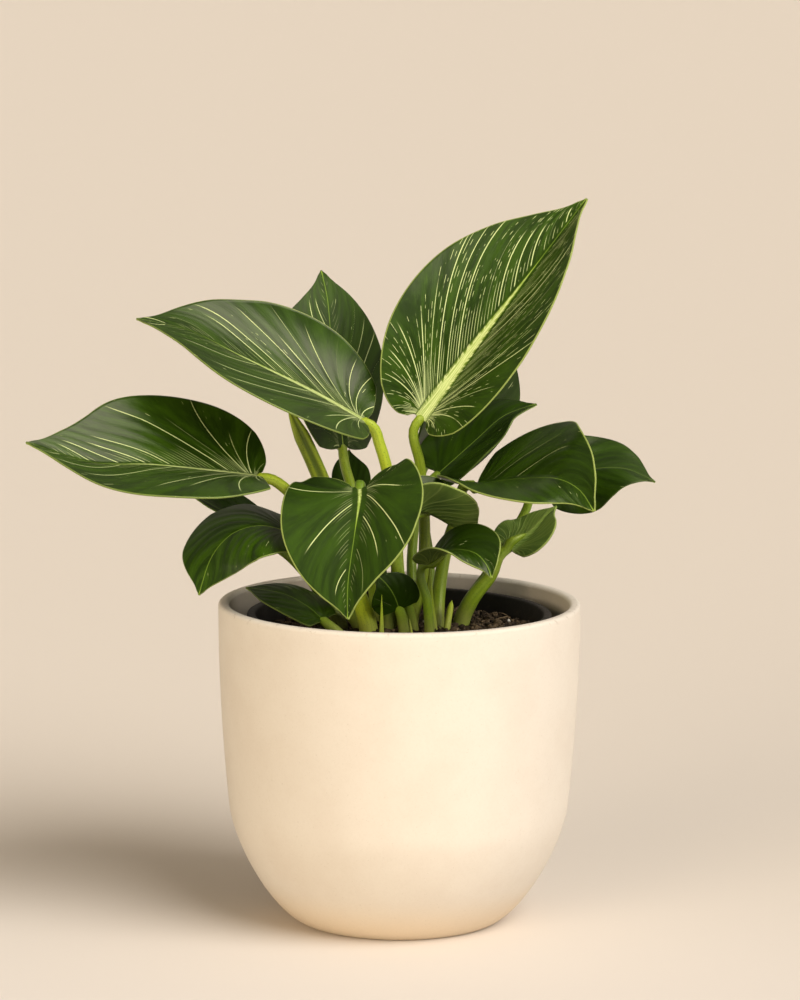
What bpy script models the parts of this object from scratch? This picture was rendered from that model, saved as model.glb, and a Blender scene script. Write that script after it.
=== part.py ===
"""Potted birkin philodendron: a round stoneware planter, the plastic grower's pot inside it, potting
soil, and seventeen leaves, each one a heart-shaped blade on its own stalk.

The planter stands on its flat underside at z = 0 and is centred on the Z axis. The plant is seen from
-Y, with +X to the right. The sizes below are in millimetres, and MM turns them into Blender's metres.
"""
import math

import bmesh
import bpy
import numpy as np

MM = 0.001

# Planter: turned outside, a flat foot, a round bottom corner and a wall that opens slightly upwards
PLANTER_RADIUS = 72.5
PLANTER_HEIGHT = 129.0
PLANTER_FOOT_RADIUS = 40.0
PLANTER_CORNER_RADIUS = 68.2
PLANTER_CORNER_HEIGHT = 46.7
PLANTER_CORNER_FULLNESS = 1.42
PLANTER_WALL = 4.4
PLANTER_FLOOR = 7.0
PLANTER_LIP = 1.6
PLANTER_LIP_CUT = 0.3
PLANTER_FLOOR_RADIUS = 44.0
PLANTER_OUTSIDE_HEIGHTS = (0.0, 1.2, 4.0, 9.0, 16.0, 25.0, 35.0, PLANTER_CORNER_HEIGHT, 66.0, 86.0, 107.0)
PLANTER_INSIDE_HEIGHTS = (80.0, 46.0, 27.0)
PLANTER_SIDES = 40

# What stands against or inside something else keeps this gap
FIT_GAP = 0.3

# Grower's pot: thin black plastic, tapered, with a rolled rim and one drain hole. It stands on the
# planter's floor.
GROWER_RIM_RADIUS = 61.0
GROWER_BASE_RADIUS = 41.0
GROWER_FOOT_Z = PLANTER_FLOOR + FIT_GAP
GROWER_RIM_Z = 124.5
GROWER_WALL = 1.0
GROWER_LIP = 2.4
GROWER_LIP_DROP = 5.0
DRAIN_HOLE_RADIUS = 5.0
GROWER_SIDES = 36

# Soil: fills the grower's pot and rises a little round the stalks
SOIL_EDGE_Z = 116.5
SOIL_CROWN_Z = 118.5
SOIL_RINGS = (50.0, 38.0, 22.0)
SOIL_DOME = 0.7
STALK_DEPTH = 14.0

# Blade: half of a flat leaf as (along, across), from the notch at the stalk to the tip. One along is
# the rib's length, and one across is half of the leaf's width.
HALF_OUTLINE = ((-0.035, 0.14), (-0.062, 0.30), (-0.035, 0.53), (0.06, 0.79), (0.20, 0.96), (0.37, 1.0),
                (0.55, 0.91), (0.71, 0.68), (0.83, 0.39), (0.92, 0.145), (1.0, 0.0))
WIDEST_SHARE = 0.5
BLADE_THICKNESS = 0.7
RIB_THICKNESS = 0.65
COLLAR_GAP = 0.8
NOTCH_MARGIN = 1.5
TIP_SHARE = 0.985

# Side veins, which the blade's faces follow: those up to the share FAN_SHARE of the outline fan out
# from the stalk, the first of them turned back by FAN_BACK, and the others leave the rib at
# VEIN_ANGLE, which shrinks to VEIN_TIP_ANGLE at the tip. The powers space them along the rib, and the
# last one leaves it at LAST_VEIN.
LAST_VEIN = 0.968
FAN_SHARE = 0.46
FAN_START = 0.05
FAN_BACK = 60
FAN_POWER = 0.8
VEIN_ANGLE = 55
VEIN_TIP_ANGLE = 35
VEIN_POWER = 1.7
VEIN_BEND = 0.5
VEIN_PLACES = (0.0, 0.34, 0.68, 1.0)

# The rib's strip thins by RIB_TAPER towards the tip and takes at most RIB_SHARE of a half, and a
# blade's fold opens by FOLD_OPENING towards the tip
RIB_TAPER = 0.8
RIB_SHARE = 0.6
FOLD_OPENING = 0.35

# Every leaf, from the foot of its stalk to the tip of its blade. "stalk" starts where it leaves the
# soil, "rib" runs from the top of the stalk to the tip, "face" is where the upper side looks, and
# "turn" rolls the blade about its rib from there, in degrees at the stalk and at the tip. "fold" and
# "curl" lift and bend the left and the right half, and "lobe" scales how far they reach past the stalk.
UP = (0.0, 0.0, 1.0)
FRONT = (0.0, -1.0, 0.3)
LEAVES = (
    dict(name="top_right", width=72, rows=12, turn=(65, 20), fold=(35, 60), curl=(-15, -15), lobe=(0.6, 0.6),
         face=UP, rib=((8, 14, 201), (30, 24, 230), (53, 36, 259), (76, 50, 288)),
         stalk=((5, 13, 118), (9, 15, 135), (10, 16, 155), (8, 15, 182)), radius=(3.0, 1.9)),
    dict(name="upper_left", width=72, rows=12, turn=(-8, -12), fold=(-5, 15), curl=(0, 52), lobe=(0.4, 0.4),
         face=UP, rib=((-14, -8, 203), (-35, -10, 215), (-63, -12, 229), (-83, -13, 239), (-105, -14, 244)),
         stalk=((0, 3, 118), (-1, 2, 147), (-4, -4, 178), (-8, -7, 193)), radius=(3.4, 2.3)),
    dict(name="left", width=72, rows=12, turn=(2, -12), fold=(-2, 46), curl=(-16, 8), lobe=(0.0, 0.6),
         face=UP, rib=((-55, -24, 183), (-76, -29, 186), (-97, -36, 189), (-120, -44, 191), (-145, -52, 200)),
         stalk=((-12, -8, 118), (-19, -14, 140), (-32, -19, 164), (-43, -22, 176)), radius=(4.6, 2.2)),
    dict(name="back", width=57, rows=11, turn=(50, 10), fold=(10, -8), curl=(8, -10), lobe=(0.2, 0.2),
         face=FRONT, rib=((-23, 36, 186), (-25, 40, 205), (-28, 46, 225), (-30, 54, 244), (-33, 60, 257)),
         stalk=((-9, 12, 118), (-12, 20, 142), (-18, 30, 165)), radius=(3.0, 2.0)),
    dict(name="front", width=60, rows=12, turn=(5, 20), fold=(38, 20), curl=(-18, 5), lobe=(0.9, 0.9),
         face=FRONT, rib=((-16, -12, 177), (-16, -23, 173), (-18, -39, 160), (-20, -52, 145), (-20, -61, 132)),
         stalk=((-5, -3, 118), (-8, -3, 143), (-14, -3, 167)), radius=(3.4, 2.0)),
    dict(name="low_left", width=46, rows=10, turn=(-22, -28), fold=(8, 0), curl=(-10, -25), lobe=(0.0, 0.3),
         face=UP, rib=((-43, -18, 160), (-55, -22, 163), (-66, -25, 160), (-74, -28, 151), (-79, -32, 136)),
         stalk=((-16, 1, 118), (-25, -4, 130), (-36, -12, 148)), radius=(3.2, 1.9)),
    dict(name="low_left_back", width=29, rows=8, turn=(5, -33), fold=(25, 25), curl=(5, 35), lobe=(0.3, 0.3),
         face=UP, rib=((-50, 10, 150), (-60, 10, 156), (-71, 8, 164), (-83, 5, 171)),
         stalk=((-23, 4, 118), (-29, 7, 127), (-38, 9, 139)), radius=(3.3, 2.0)),
    dict(name="rim_left", width=25, rows=8, turn=(-10, -20), fold=(0, 2), curl=(-5, -27), lobe=(0.0, 0.0),
         face=UP, rib=((-30, -14, 124), (-37, -10, 129), (-47, -5, 133), (-62, 2, 134)),
         stalk=((-23, -17, 118),), radius=(2.4, 2.0)),
    dict(name="right", width=60, rows=12, turn=(0, 48), fold=(52, 13), curl=(-35, 15), lobe=(0.0, 0.2),
         face=UP, rib=((29, 20, 174), (48, 0, 179), (61, -20, 182), (70, -30, 179), (76, -38, 171)),
         stalk=((15, 5, 118), (16, 14, 132), (19, 20, 148), (23, 24, 160)), radius=(3.4, 2.2)),
    dict(name="far_right", width=38, rows=9, turn=(50, 0), fold=(5, -20), curl=(10, -50), lobe=(0.4, 0.4),
         face=UP, rib=((60, 34, 174), (77, 34, 178), (91, 30, 179), (104, 26, 174)),
         stalk=((25, 24, 118), (37, 30, 137), (51, 34, 160)), radius=(2.6, 1.7)),
    dict(name="back_right", width=38, rows=9, turn=(45, 20), fold=(25, 30), curl=(-60, 20), lobe=(0.5, 0.5),
         face=UP, rib=((15, 31, 176), (30, 35, 189), (42, 39, 199), (56, 41, 204)),
         stalk=((13, 21, 118), (12, 30, 141), (10, 31, 164)), radius=(2.6, 1.8)),
    dict(name="far_back", width=50, rows=9, turn=(50, 30), fold=(20, 5), curl=(0, -20), lobe=(0.3, 0.3),
         face=FRONT, rib=((12, 57, 177), (24, 62, 193), (37, 68, 207), (47, 73, 224)),
         stalk=((6, 32, 118), (5, 46, 139), (8, 55, 164)), radius=(2.6, 1.8)),
    dict(name="rolled", width=38, rows=10, turn=(8, 0), fold=(46, 68), curl=(0, 0), lobe=(1.0, 4.5),
         face=UP, rib=((4, -12, 168), (10, -11, 168), (16, -10, 165), (22, -8, 161), (27, -5, 159), (32, -2, 158)),
         stalk=((5, -4, 118), (1, -7, 135), (-2, -9, 153)), radius=(3.2, 2.2)),
    dict(name="low_middle", width=30, rows=9, turn=(0, 25), fold=(35, 25), curl=(0, 0), lobe=(0.6, 0.6),
         face=UP, rib=((11, -19, 148), (20, -24, 154), (29, -30, 154), (34, -36, 150), (36, -39, 145)),
         stalk=((12, -15, 118), (11, -18, 132)), radius=(2.4, 1.6)),
    dict(name="low_right", width=32, rows=8, turn=(140, 120), fold=(-15, 5), curl=(0, -15), lobe=(0.1, 0.1),
         face=FRONT, rib=((44, 14, 148), (53, 18, 154), (59, 22, 160), (64, 24, 164)),
         stalk=((25, 14, 118), (30, 12, 129), (37, 12, 138)), radius=(4.4, 2.2)),
    dict(name="inner", width=20, rows=8, turn=(0, 0), fold=(0, 0), curl=(0, 0), lobe=(0.0, 0.0),
         face=FRONT, rib=((0, -14, 128), (-2, -17, 134), (-5, -19, 139), (-9, -20, 143)),
         stalk=((2, -11, 118),), radius=(3.0, 2.0)),
    dict(name="small_back", width=16, rows=8, turn=(0, 0), fold=(10, 10), curl=(0, 0), lobe=(0.0, 0.0),
         face=FRONT, rib=((-19, 42, 166), (-20, 43, 172), (-21, 45, 178), (-21, 46, 184)),
         stalk=((-6, 26, 118), (-10, 32, 141)), radius=(2.4, 1.6)),
)

# Sheaths and stubs: the scale leaves that wrapped a new leaf, and the ends of old stalks
SHEATHS = (
    dict(name="sheath_tall", points=((-16, 23, 118), (-21, 23, 142), (-32, 22, 175), (-45, 20, 204)),
         radius=(4.2, 3.2)),
    dict(name="sheath_middle", points=((13, -6, 118), (12, -7, 131), (12, -8, 145)), radius=(3.8, 0.8)),
    dict(name="spike_left", points=((-7, -25, 118), (-7, -25, 128), (-7, -25, 136)), radius=(1.8, 0.6)),
    dict(name="spike_middle", points=((5, -17, 118), (4, -17, 125)), radius=(1.6, 0.6)),
    dict(name="old_stub", points=((19, -3, 118), (20, 0, 124), (21, 2, 129)), radius=(1.8, 1.2)),
)

# Stems: the gap between a stalk and its blade, how far the stalk runs in line with the rib before it,
# counted in stalk radii, how far apart its rings are, in millimetres and in degrees of bend, how
# many sides it has, and how soon it thins (a power of the share of its length)
STALK_GAP = 0.5
APPROACH = 1.5
RING_SPACING = 11.0
RING_BEND = 24.0
STALK_SIDES = 8
STALK_TAPER = 0.7

STONEWARE = dict(color=(0.80, 0.71, 0.56), roughness=0.75)
BLACK_PLASTIC = dict(color=(0.02, 0.02, 0.02), roughness=0.45)
SOIL = dict(color=(0.045, 0.03, 0.02), roughness=0.95)
LEAF_GREEN = dict(color=(0.03, 0.09, 0.02), roughness=0.35)
STALK_GREEN = dict(color=(0.16, 0.27, 0.04), roughness=0.45)


def clear_scene():
    for old in list(bpy.data.objects):
        bpy.data.objects.remove(old, do_unlink=True)


def finish(name, finish_values):
    material = bpy.data.materials.new(name)
    material.use_nodes = True
    shader = material.node_tree.nodes["Principled BSDF"]
    shader.inputs["Base Color"].default_value = (*finish_values["color"], 1.0)
    shader.inputs["Roughness"].default_value = finish_values["roughness"]
    shader.inputs["Metallic"].default_value = 0.0
    return material


def smooth_path(points, shares, by_length=False):
    """Points on the smooth curve through the given points, at shares 0..1 of the way along them. The
    points count as evenly spaced, or as far apart as they are when by_length is set."""
    points = np.asarray(points, float)
    gaps = np.linalg.norm(np.diff(points, axis=0), axis=1) if by_length else np.ones(len(points) - 1)
    rates = np.diff(points, axis=0) / gaps[:, None]
    before, after = gaps[:-1, None], gaps[1:, None]
    inner = (rates[:-1] * after + rates[1:] * before) / (before + after)
    slopes = np.vstack([rates[:1], inner, rates[-1:]])
    knots = np.concatenate([[0.0], np.cumsum(gaps)])
    place = np.clip(np.asarray(shares, float), 0, 1) * knots[-1]
    span = np.clip(np.searchsorted(knots, place, side="right") - 1, 0, len(points) - 2)
    gap = gaps[span, None]
    t = (place[:, None] - knots[span, None]) / gap
    start, end = points[span], points[span + 1]
    return ((1 + 2 * t) * (1 - t) ** 2 * start + t * (1 - t) ** 2 * gap * slopes[span]
            + t ** 2 * (3 - 2 * t) * end - t ** 2 * (1 - t) * gap * slopes[span + 1])


class Rib:
    """The midrib of a blade: a smooth curve measured by its length, with its direction."""

    def __init__(self, points):
        self.points = smooth_path(points, np.linspace(0, 1, 241))
        steps = np.linalg.norm(np.diff(self.points, axis=0), axis=1)
        self.measure = np.concatenate([[0.0], np.cumsum(steps)])
        self.length = self.measure[-1]
        self.ways = np.gradient(self.points, self.measure, axis=0)

    def at(self, distance):
        place = np.array([np.interp(distance, self.measure, self.points[:, k]) for k in range(3)])
        way = np.array([np.interp(distance, self.measure, self.ways[:, k]) for k in range(3)])
        return place, way / np.linalg.norm(way)


def rib_thickness(leaf):
    """Thickness of the blade at the top of its stalk, where the rib is strongest."""
    return RIB_THICKNESS * leaf["radius"][1]


def flat_vein(leaf, length, side, share):
    """One side vein of the flat leaf, as (along, across) in millimetres from the rib to the edge."""
    half_width = leaf["width"] / 2
    collar = leaf["radius"][1] + COLLAR_GAP
    along, across = smooth_path(HALF_OUTLINE, [share])[0]
    if along < 0:
        along *= leaf["lobe"][side]
    edge_x, edge_y = along * length, across * half_width
    if share < WIDEST_SHARE:
        edge_y += max(0.0, collar + NOTCH_MARGIN - HALF_OUTLINE[0][1] * half_width) * (1 - across)
    if share < FAN_SHARE:
        start = FAN_START * share / FAN_SHARE
        back = 90 + FAN_BACK * min(leaf["lobe"][side], 1.0)
        angle = math.radians(back - (back - VEIN_ANGLE) * (share / FAN_SHARE) ** FAN_POWER)
    else:
        rest = (share - FAN_SHARE) / (TIP_SHARE - FAN_SHARE)
        start = FAN_START + (LAST_VEIN - FAN_START) * rest ** VEIN_POWER
        angle = math.radians(VEIN_ANGLE + (VEIN_TIP_ANGLE - VEIN_ANGLE) * rest)
    rib_x = start * length
    rib_y = min(collar * (1 - RIB_TAPER * start), RIB_SHARE * edge_y)
    reach = VEIN_BEND * math.hypot(edge_x - rib_x, edge_y - rib_y)
    bend_x = rib_x + reach * math.cos(angle)
    bend_y = rib_y + reach * math.sin(angle)
    vein = []
    for t in VEIN_PLACES:
        x = (1 - t) ** 2 * rib_x + 2 * t * (1 - t) * bend_x + t ** 2 * edge_x
        y = (1 - t) ** 2 * rib_y + 2 * t * (1 - t) * bend_y + t ** 2 * edge_y
        vein.append((x, y))
    return vein


def frame_at(leaf, rib, share):
    """A point of the rib, the rib's direction there and the direction that the upper side faces."""
    place, way = rib.at(share * rib.length)
    up = np.array(leaf["face"], float)
    up -= way * np.dot(up, way)
    up /= np.linalg.norm(up)
    turn = math.radians(leaf["turn"][0] + (leaf["turn"][1] - leaf["turn"][0]) * share)
    return place, way, up * math.cos(turn) + np.cross(way, up) * math.sin(turn)


def raised(leaf, rib, side, along, across, rib_half):
    """Where a point of the flat leaf lies once the blade is bent, turned, folded and curled."""
    share = min(max(along / rib.length, 0.0), 1.0)
    place, way, up = frame_at(leaf, rib, share)
    out = np.cross(way, up) * (-1, 1)[side]
    flat = min(across, rib_half)
    wing = max(across - rib_half, 0.0)
    fold = math.radians(leaf["fold"][side]) * (1 - FOLD_OPENING * share)
    bend = math.radians(leaf["curl"][side]) / (leaf["width"] / 2)
    if abs(bend) < 1e-6:
        outward, lift = wing * math.cos(fold), wing * math.sin(fold)
    else:
        outward = (math.sin(fold + bend * wing) - math.sin(fold)) / bend
        lift = (math.cos(fold) - math.cos(fold + bend * wing)) / bend
    return place + way * min(along, 0.0) + out * (flat + outward) + up * lift


def blade_sheet(leaf, rib):
    """The upper face of a blade as a triangle mesh, with the rib's vertices named for thickening."""
    sheet = bmesh.new()
    rib_layer = sheet.verts.layers.deform.verify()
    origin = rib.points[0]
    shares = [TIP_SHARE * row / leaf["rows"] for row in range(leaf["rows"] + 1)]
    thickest = rib_thickness(leaf)

    def add(point, thickness):
        vertex = sheet.verts.new((np.asarray(point) - origin) * MM)
        vertex[rib_layer][0] = thickness / thickest
        return vertex

    middle = []
    for share in shares:
        rib_x = flat_vein(leaf, rib.length, 0, share)[0][0]
        taper = thickest - (thickest - BLADE_THICKNESS) * rib_x / rib.length
        middle.append((add(rib.at(rib_x)[0], taper), taper))
    for side in (0, 1):
        rows = []
        for share, (centre, taper) in zip(shares, middle):
            vein = flat_vein(leaf, rib.length, side, share)
            rib_half = vein[0][1]
            row = [centre]
            for number, (x, y) in enumerate(vein):
                thickness = 0.5 * (taper + BLADE_THICKNESS) if number == 0 else BLADE_THICKNESS
                row.append(add(raised(leaf, rib, side, x, y, rib_half), thickness))
            rows.append(row)
        for lower, upper in zip(rows[:-1], rows[1:]):
            for k in range(len(lower) - 1):
                quad = (lower[k], lower[k + 1], upper[k + 1], upper[k])
                if side == 0:
                    quad = quad[::-1]
                sheet.faces.new((quad[0], quad[1], quad[2]))
                sheet.faces.new((quad[0], quad[2], quad[3]))
    return sheet


def make_blade(leaf, rib, material):
    name = "blade_" + leaf["name"]
    sheet = blade_sheet(leaf, rib)
    mesh = bpy.data.meshes.new(name)
    sheet.to_mesh(mesh)
    sheet.free()
    mesh.shade_smooth()
    mesh.materials.append(material)
    blade = bpy.data.objects.new(name, mesh)
    blade.vertex_groups.new(name="thickness")
    blade.location = rib.points[0] * MM
    bpy.context.collection.objects.link(blade)
    thicken = blade.modifiers.new("Thickness", "SOLIDIFY")
    thicken.thickness = rib_thickness(leaf) * MM
    thicken.offset = -1.0
    thicken.vertex_group = "thickness"
    return blade


def stalk_route(leaf, rib):
    """From below the soil up the stalk, and into line with the rib just short of the blade."""
    start, way, up = frame_at(leaf, rib, 0.0)
    foot = np.array(leaf["stalk"][0], float) - (0, 0, STALK_DEPTH)
    end = start - way * STALK_GAP - up * rib_thickness(leaf) / 2
    approach = end - way * APPROACH * leaf["radius"][1]
    return [foot, *(np.array(p, float) for p in leaf["stalk"]), approach, end]


def ring_places(route):
    """Points and directions along a stem, closer together where it bends."""
    points = smooth_path(route, np.linspace(0, 1, 20 * len(route)), by_length=True)
    steps = np.diff(points, axis=0)
    lengths = np.linalg.norm(steps, axis=1)
    ways = steps / lengths[:, None]
    bends = np.degrees(np.arccos(np.clip((ways[1:] * ways[:-1]).sum(axis=1), -1, 1)))
    need = np.concatenate([[0.0], np.cumsum(lengths / RING_SPACING + np.append(bends, 0.0) / RING_BEND)])
    count = max(4, round(need[-1])) + 1
    at = np.interp(np.linspace(0, need[-1], count), need, np.arange(len(need)))
    places = np.array([np.interp(at, np.arange(len(points)), points[:, k]) for k in range(3)]).T
    slopes = np.gradient(points, axis=0)
    slopes = np.array([np.interp(at, np.arange(len(points)), slopes[:, k]) for k in range(3)]).T
    slopes /= np.linalg.norm(slopes, axis=1)[:, None]
    measure = np.concatenate([[0.0], np.cumsum(lengths)])
    shares = np.interp(at, np.arange(len(measure)), measure / measure[-1])
    return places, slopes, shares


def make_tube(name, route, radius, material, extra=0.0):
    """A round stem along a route, thick at the foot and thin at the top, with flat ends."""
    points, ways, shares = ring_places(np.asarray(route, float))
    if extra:
        points[0] -= ways[0] * extra
    tube = bmesh.new()
    across = np.array((1.0, 0.0, 0.0))
    rings = []
    for point, way, share in zip(points, ways, shares):
        across = across - way * np.dot(across, way)
        across /= np.linalg.norm(across)
        beside = np.cross(way, across)
        size = radius[0] + (radius[1] - radius[0]) * share ** STALK_TAPER + extra
        ring = []
        for side in range(STALK_SIDES):
            angle = 2 * math.pi * side / STALK_SIDES
            corner = point + size * (math.cos(angle) * across + math.sin(angle) * beside)
            ring.append(tube.verts.new((corner - route[0]) * MM))
        rings.append(ring)
    for lower, upper in zip(rings[:-1], rings[1:]):
        for side in range(STALK_SIDES):
            after = (side + 1) % STALK_SIDES
            tube.faces.new((lower[side], lower[after], upper[after], upper[side]))
    tube.faces.new(rings[0][::-1])
    tube.faces.new(rings[-1])
    mesh = bpy.data.meshes.new(name)
    tube.to_mesh(mesh)
    tube.free()
    mesh.shade_smooth()
    mesh.set_sharp_from_angle(angle=math.radians(50))
    mesh.materials.append(material)
    stem = bpy.data.objects.new(name, mesh)
    stem.location = route[0] * MM
    bpy.context.collection.objects.link(stem)
    return stem


def turned(name, profile, sides, material):
    """A closed solid of revolution about Z from (radius, height) points that end on the axis."""
    shape = bmesh.new()
    points = [shape.verts.new((r * MM, 0.0, z * MM)) for r, z in profile]
    edges = [shape.edges.new(pair) for pair in zip(points[:-1], points[1:])]
    bmesh.ops.spin(shape, geom=points + edges, cent=(0, 0, 0), axis=(0, 0, 1), angle=2 * math.pi,
                   steps=sides, use_merge=True)
    bmesh.ops.remove_doubles(shape, verts=shape.verts[:], dist=0.00001)
    bmesh.ops.recalc_face_normals(shape, faces=shape.faces[:])
    mesh = bpy.data.meshes.new(name)
    shape.to_mesh(mesh)
    shape.free()
    mesh.shade_smooth()
    mesh.set_sharp_from_angle(angle=math.radians(40))
    mesh.materials.append(material)
    solid = bpy.data.objects.new(name, mesh)
    bpy.context.collection.objects.link(solid)
    return solid


def planter_outside(height):
    """Radius of the planter's outside at a height."""
    if height <= PLANTER_CORNER_HEIGHT:
        turn = math.acos((1 - height / PLANTER_CORNER_HEIGHT) ** (1 / PLANTER_CORNER_FULLNESS))
        swell = math.sin(turn) ** PLANTER_CORNER_FULLNESS
        return PLANTER_FOOT_RADIUS + (PLANTER_CORNER_RADIUS - PLANTER_FOOT_RADIUS) * swell
    rise = (height - PLANTER_CORNER_HEIGHT) / (PLANTER_HEIGHT - PLANTER_CORNER_HEIGHT)
    return PLANTER_CORNER_RADIUS + (PLANTER_RADIUS - PLANTER_CORNER_RADIUS) * (1 - (1 - rise) ** 2)


def make_planter(material):
    """The outline runs from the middle of the underside over the lip to the middle of the floor."""
    inner_radius = PLANTER_RADIUS - PLANTER_WALL
    lip_z = PLANTER_HEIGHT - PLANTER_LIP
    cut = PLANTER_LIP * PLANTER_LIP_CUT
    profile = [(0.0, 0.0)]
    profile += [(planter_outside(z), z) for z in PLANTER_OUTSIDE_HEIGHTS]
    profile += [(PLANTER_RADIUS, lip_z), (PLANTER_RADIUS - cut, PLANTER_HEIGHT - cut)]
    profile += [(PLANTER_RADIUS - PLANTER_LIP, PLANTER_HEIGHT), (inner_radius + PLANTER_LIP, PLANTER_HEIGHT)]
    profile += [(inner_radius + cut, PLANTER_HEIGHT - cut), (inner_radius, lip_z)]
    profile += [(planter_outside(z) - PLANTER_WALL, z) for z in PLANTER_INSIDE_HEIGHTS]
    profile += [(PLANTER_FLOOR_RADIUS, PLANTER_FLOOR), (0.0, PLANTER_FLOOR)]
    return turned("planter", profile, PLANTER_SIDES, material)


def grower_radius(height):
    share = (height - GROWER_FOOT_Z) / (GROWER_RIM_Z - GROWER_FOOT_Z)
    return GROWER_BASE_RADIUS + (GROWER_RIM_RADIUS - GROWER_LIP - GROWER_BASE_RADIUS) * share


def make_grower_pot(material):
    lip_z = GROWER_RIM_Z - GROWER_LIP_DROP
    outside = [(DRAIN_HOLE_RADIUS, GROWER_FOOT_Z), (GROWER_BASE_RADIUS, GROWER_FOOT_Z),
               (grower_radius(lip_z), lip_z), (GROWER_RIM_RADIUS, lip_z), (GROWER_RIM_RADIUS, GROWER_RIM_Z)]
    inner_rim = grower_radius(GROWER_RIM_Z) - GROWER_WALL
    inside = [(inner_rim, GROWER_RIM_Z), (GROWER_BASE_RADIUS - GROWER_WALL, GROWER_FOOT_Z + GROWER_WALL),
              (DRAIN_HOLE_RADIUS, GROWER_FOOT_Z + GROWER_WALL), (DRAIN_HOLE_RADIUS, GROWER_FOOT_Z)]
    return turned("grower_pot", outside + inside, GROWER_SIDES, material)


def make_soil(stems, material):
    """The root ball, cut by each stem's own hole, which is a little wider than the stem."""
    floor_z = GROWER_FOOT_Z + GROWER_WALL + FIT_GAP
    inset = GROWER_WALL + FIT_GAP
    profile = [(0.0, floor_z), (GROWER_BASE_RADIUS - inset, floor_z),
               (grower_radius(SOIL_EDGE_Z) - inset, SOIL_EDGE_Z)]
    for radius in SOIL_RINGS:
        rise = (1 - radius / GROWER_RIM_RADIUS) ** SOIL_DOME
        profile.append((radius, SOIL_EDGE_Z + (SOIL_CROWN_Z - SOIL_EDGE_Z) * rise))
    profile.append((0.0, SOIL_CROWN_Z))
    soil = turned("soil", profile, GROWER_SIDES, material)
    cutters = bpy.data.collections.new("stem_holes")
    bpy.context.scene.collection.children.link(cutters)
    for name, route, radius in stems:
        cutter = make_tube("hole_" + name, route, radius, material, extra=FIT_GAP)
        bpy.context.collection.objects.unlink(cutter)
        cutters.objects.link(cutter)
    holes = soil.modifiers.new("Stem holes", "BOOLEAN")
    holes.operand_type = "COLLECTION"
    holes.collection = cutters
    holes.operation = "DIFFERENCE"
    holes.solver = "EXACT"
    bpy.context.view_layer.update()
    cut = bpy.data.meshes.new_from_object(soil.evaluated_get(bpy.context.evaluated_depsgraph_get()))
    soil.modifiers.remove(holes)
    soil.data = cut
    for cutter in list(cutters.objects):
        bpy.data.objects.remove(cutter, do_unlink=True)
    bpy.data.collections.remove(cutters)
    return soil


clear_scene()
leaf_green = finish("leaf", LEAF_GREEN)
stalk_green = finish("stalk", STALK_GREEN)
make_planter(finish("stoneware", STONEWARE))
make_grower_pot(finish("black_plastic", BLACK_PLASTIC))
stems = []
for leaf in LEAVES:
    rib = Rib(leaf["rib"])
    make_blade(leaf, rib, leaf_green)
    route = stalk_route(leaf, rib)
    make_tube("stalk_" + leaf["name"], route, leaf["radius"], stalk_green)
    stems.append((leaf["name"], route, leaf["radius"]))
for sheath in SHEATHS:
    foot = np.array(sheath["points"][0], float) - (0, 0, STALK_DEPTH)
    route = [foot, *(np.array(p, float) for p in sheath["points"])]
    make_tube(sheath["name"], route, sheath["radius"], stalk_green)
    stems.append((sheath["name"], route, sheath["radius"]))
make_soil(stems, finish("soil", SOIL))
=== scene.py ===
"""The looks of a potted birkin philodendron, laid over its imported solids.

Sizes are in millimetres, and MM turns them into metres. The plant stands on z = 0, centred on the
Z axis, and is seen from -Y with +X to the right.
"""

import math

import bmesh
import bpy
import numpy as np
from mathutils import Matrix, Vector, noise


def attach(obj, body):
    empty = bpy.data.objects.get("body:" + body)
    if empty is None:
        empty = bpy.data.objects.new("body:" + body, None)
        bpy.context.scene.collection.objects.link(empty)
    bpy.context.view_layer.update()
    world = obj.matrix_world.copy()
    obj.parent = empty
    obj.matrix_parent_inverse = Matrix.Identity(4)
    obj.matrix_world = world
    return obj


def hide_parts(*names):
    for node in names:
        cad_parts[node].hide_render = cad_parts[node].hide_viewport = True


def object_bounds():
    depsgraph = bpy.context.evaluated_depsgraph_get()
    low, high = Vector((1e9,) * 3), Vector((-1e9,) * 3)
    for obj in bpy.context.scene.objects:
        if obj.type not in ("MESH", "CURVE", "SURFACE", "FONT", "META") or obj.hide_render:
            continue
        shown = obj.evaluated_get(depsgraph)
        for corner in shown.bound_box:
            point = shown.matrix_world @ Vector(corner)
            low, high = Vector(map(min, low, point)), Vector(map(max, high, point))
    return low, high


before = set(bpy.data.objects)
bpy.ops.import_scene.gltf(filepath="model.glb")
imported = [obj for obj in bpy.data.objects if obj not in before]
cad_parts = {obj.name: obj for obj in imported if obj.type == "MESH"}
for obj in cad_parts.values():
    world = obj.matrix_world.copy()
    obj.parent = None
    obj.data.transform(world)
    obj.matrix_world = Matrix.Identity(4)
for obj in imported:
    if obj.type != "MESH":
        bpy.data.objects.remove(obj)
cad_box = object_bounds()

# Planter: a round stoneware cachepot, turned with a full bottom corner and a rounded lip. It is dipped
# in a matte cream glaze that stays a little mottled. Inside, the glaze is thinner and is painted greyer and
# darker: partly its own colour there, partly painted shade on the inner wall.
MM = 0.001
PLANTER_RADIUS = 72.5
PLANTER_HEIGHT = 129.0
PLANTER_FOOT_RADIUS = 40.0
PLANTER_CORNER_RADIUS = 68.2
PLANTER_CORNER_HEIGHT = 46.7
PLANTER_CORNER_FULLNESS = 1.42
PLANTER_WALL = 4.4
PLANTER_FLOOR = 7.0
PLANTER_LIP = 1.6
PLANTER_FLOOR_ROUND = 20.0
PLANTER_FLOOR_RADIUS = PLANTER_FOOT_RADIUS + 4.0
PLANTER_SIDES = 192
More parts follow.
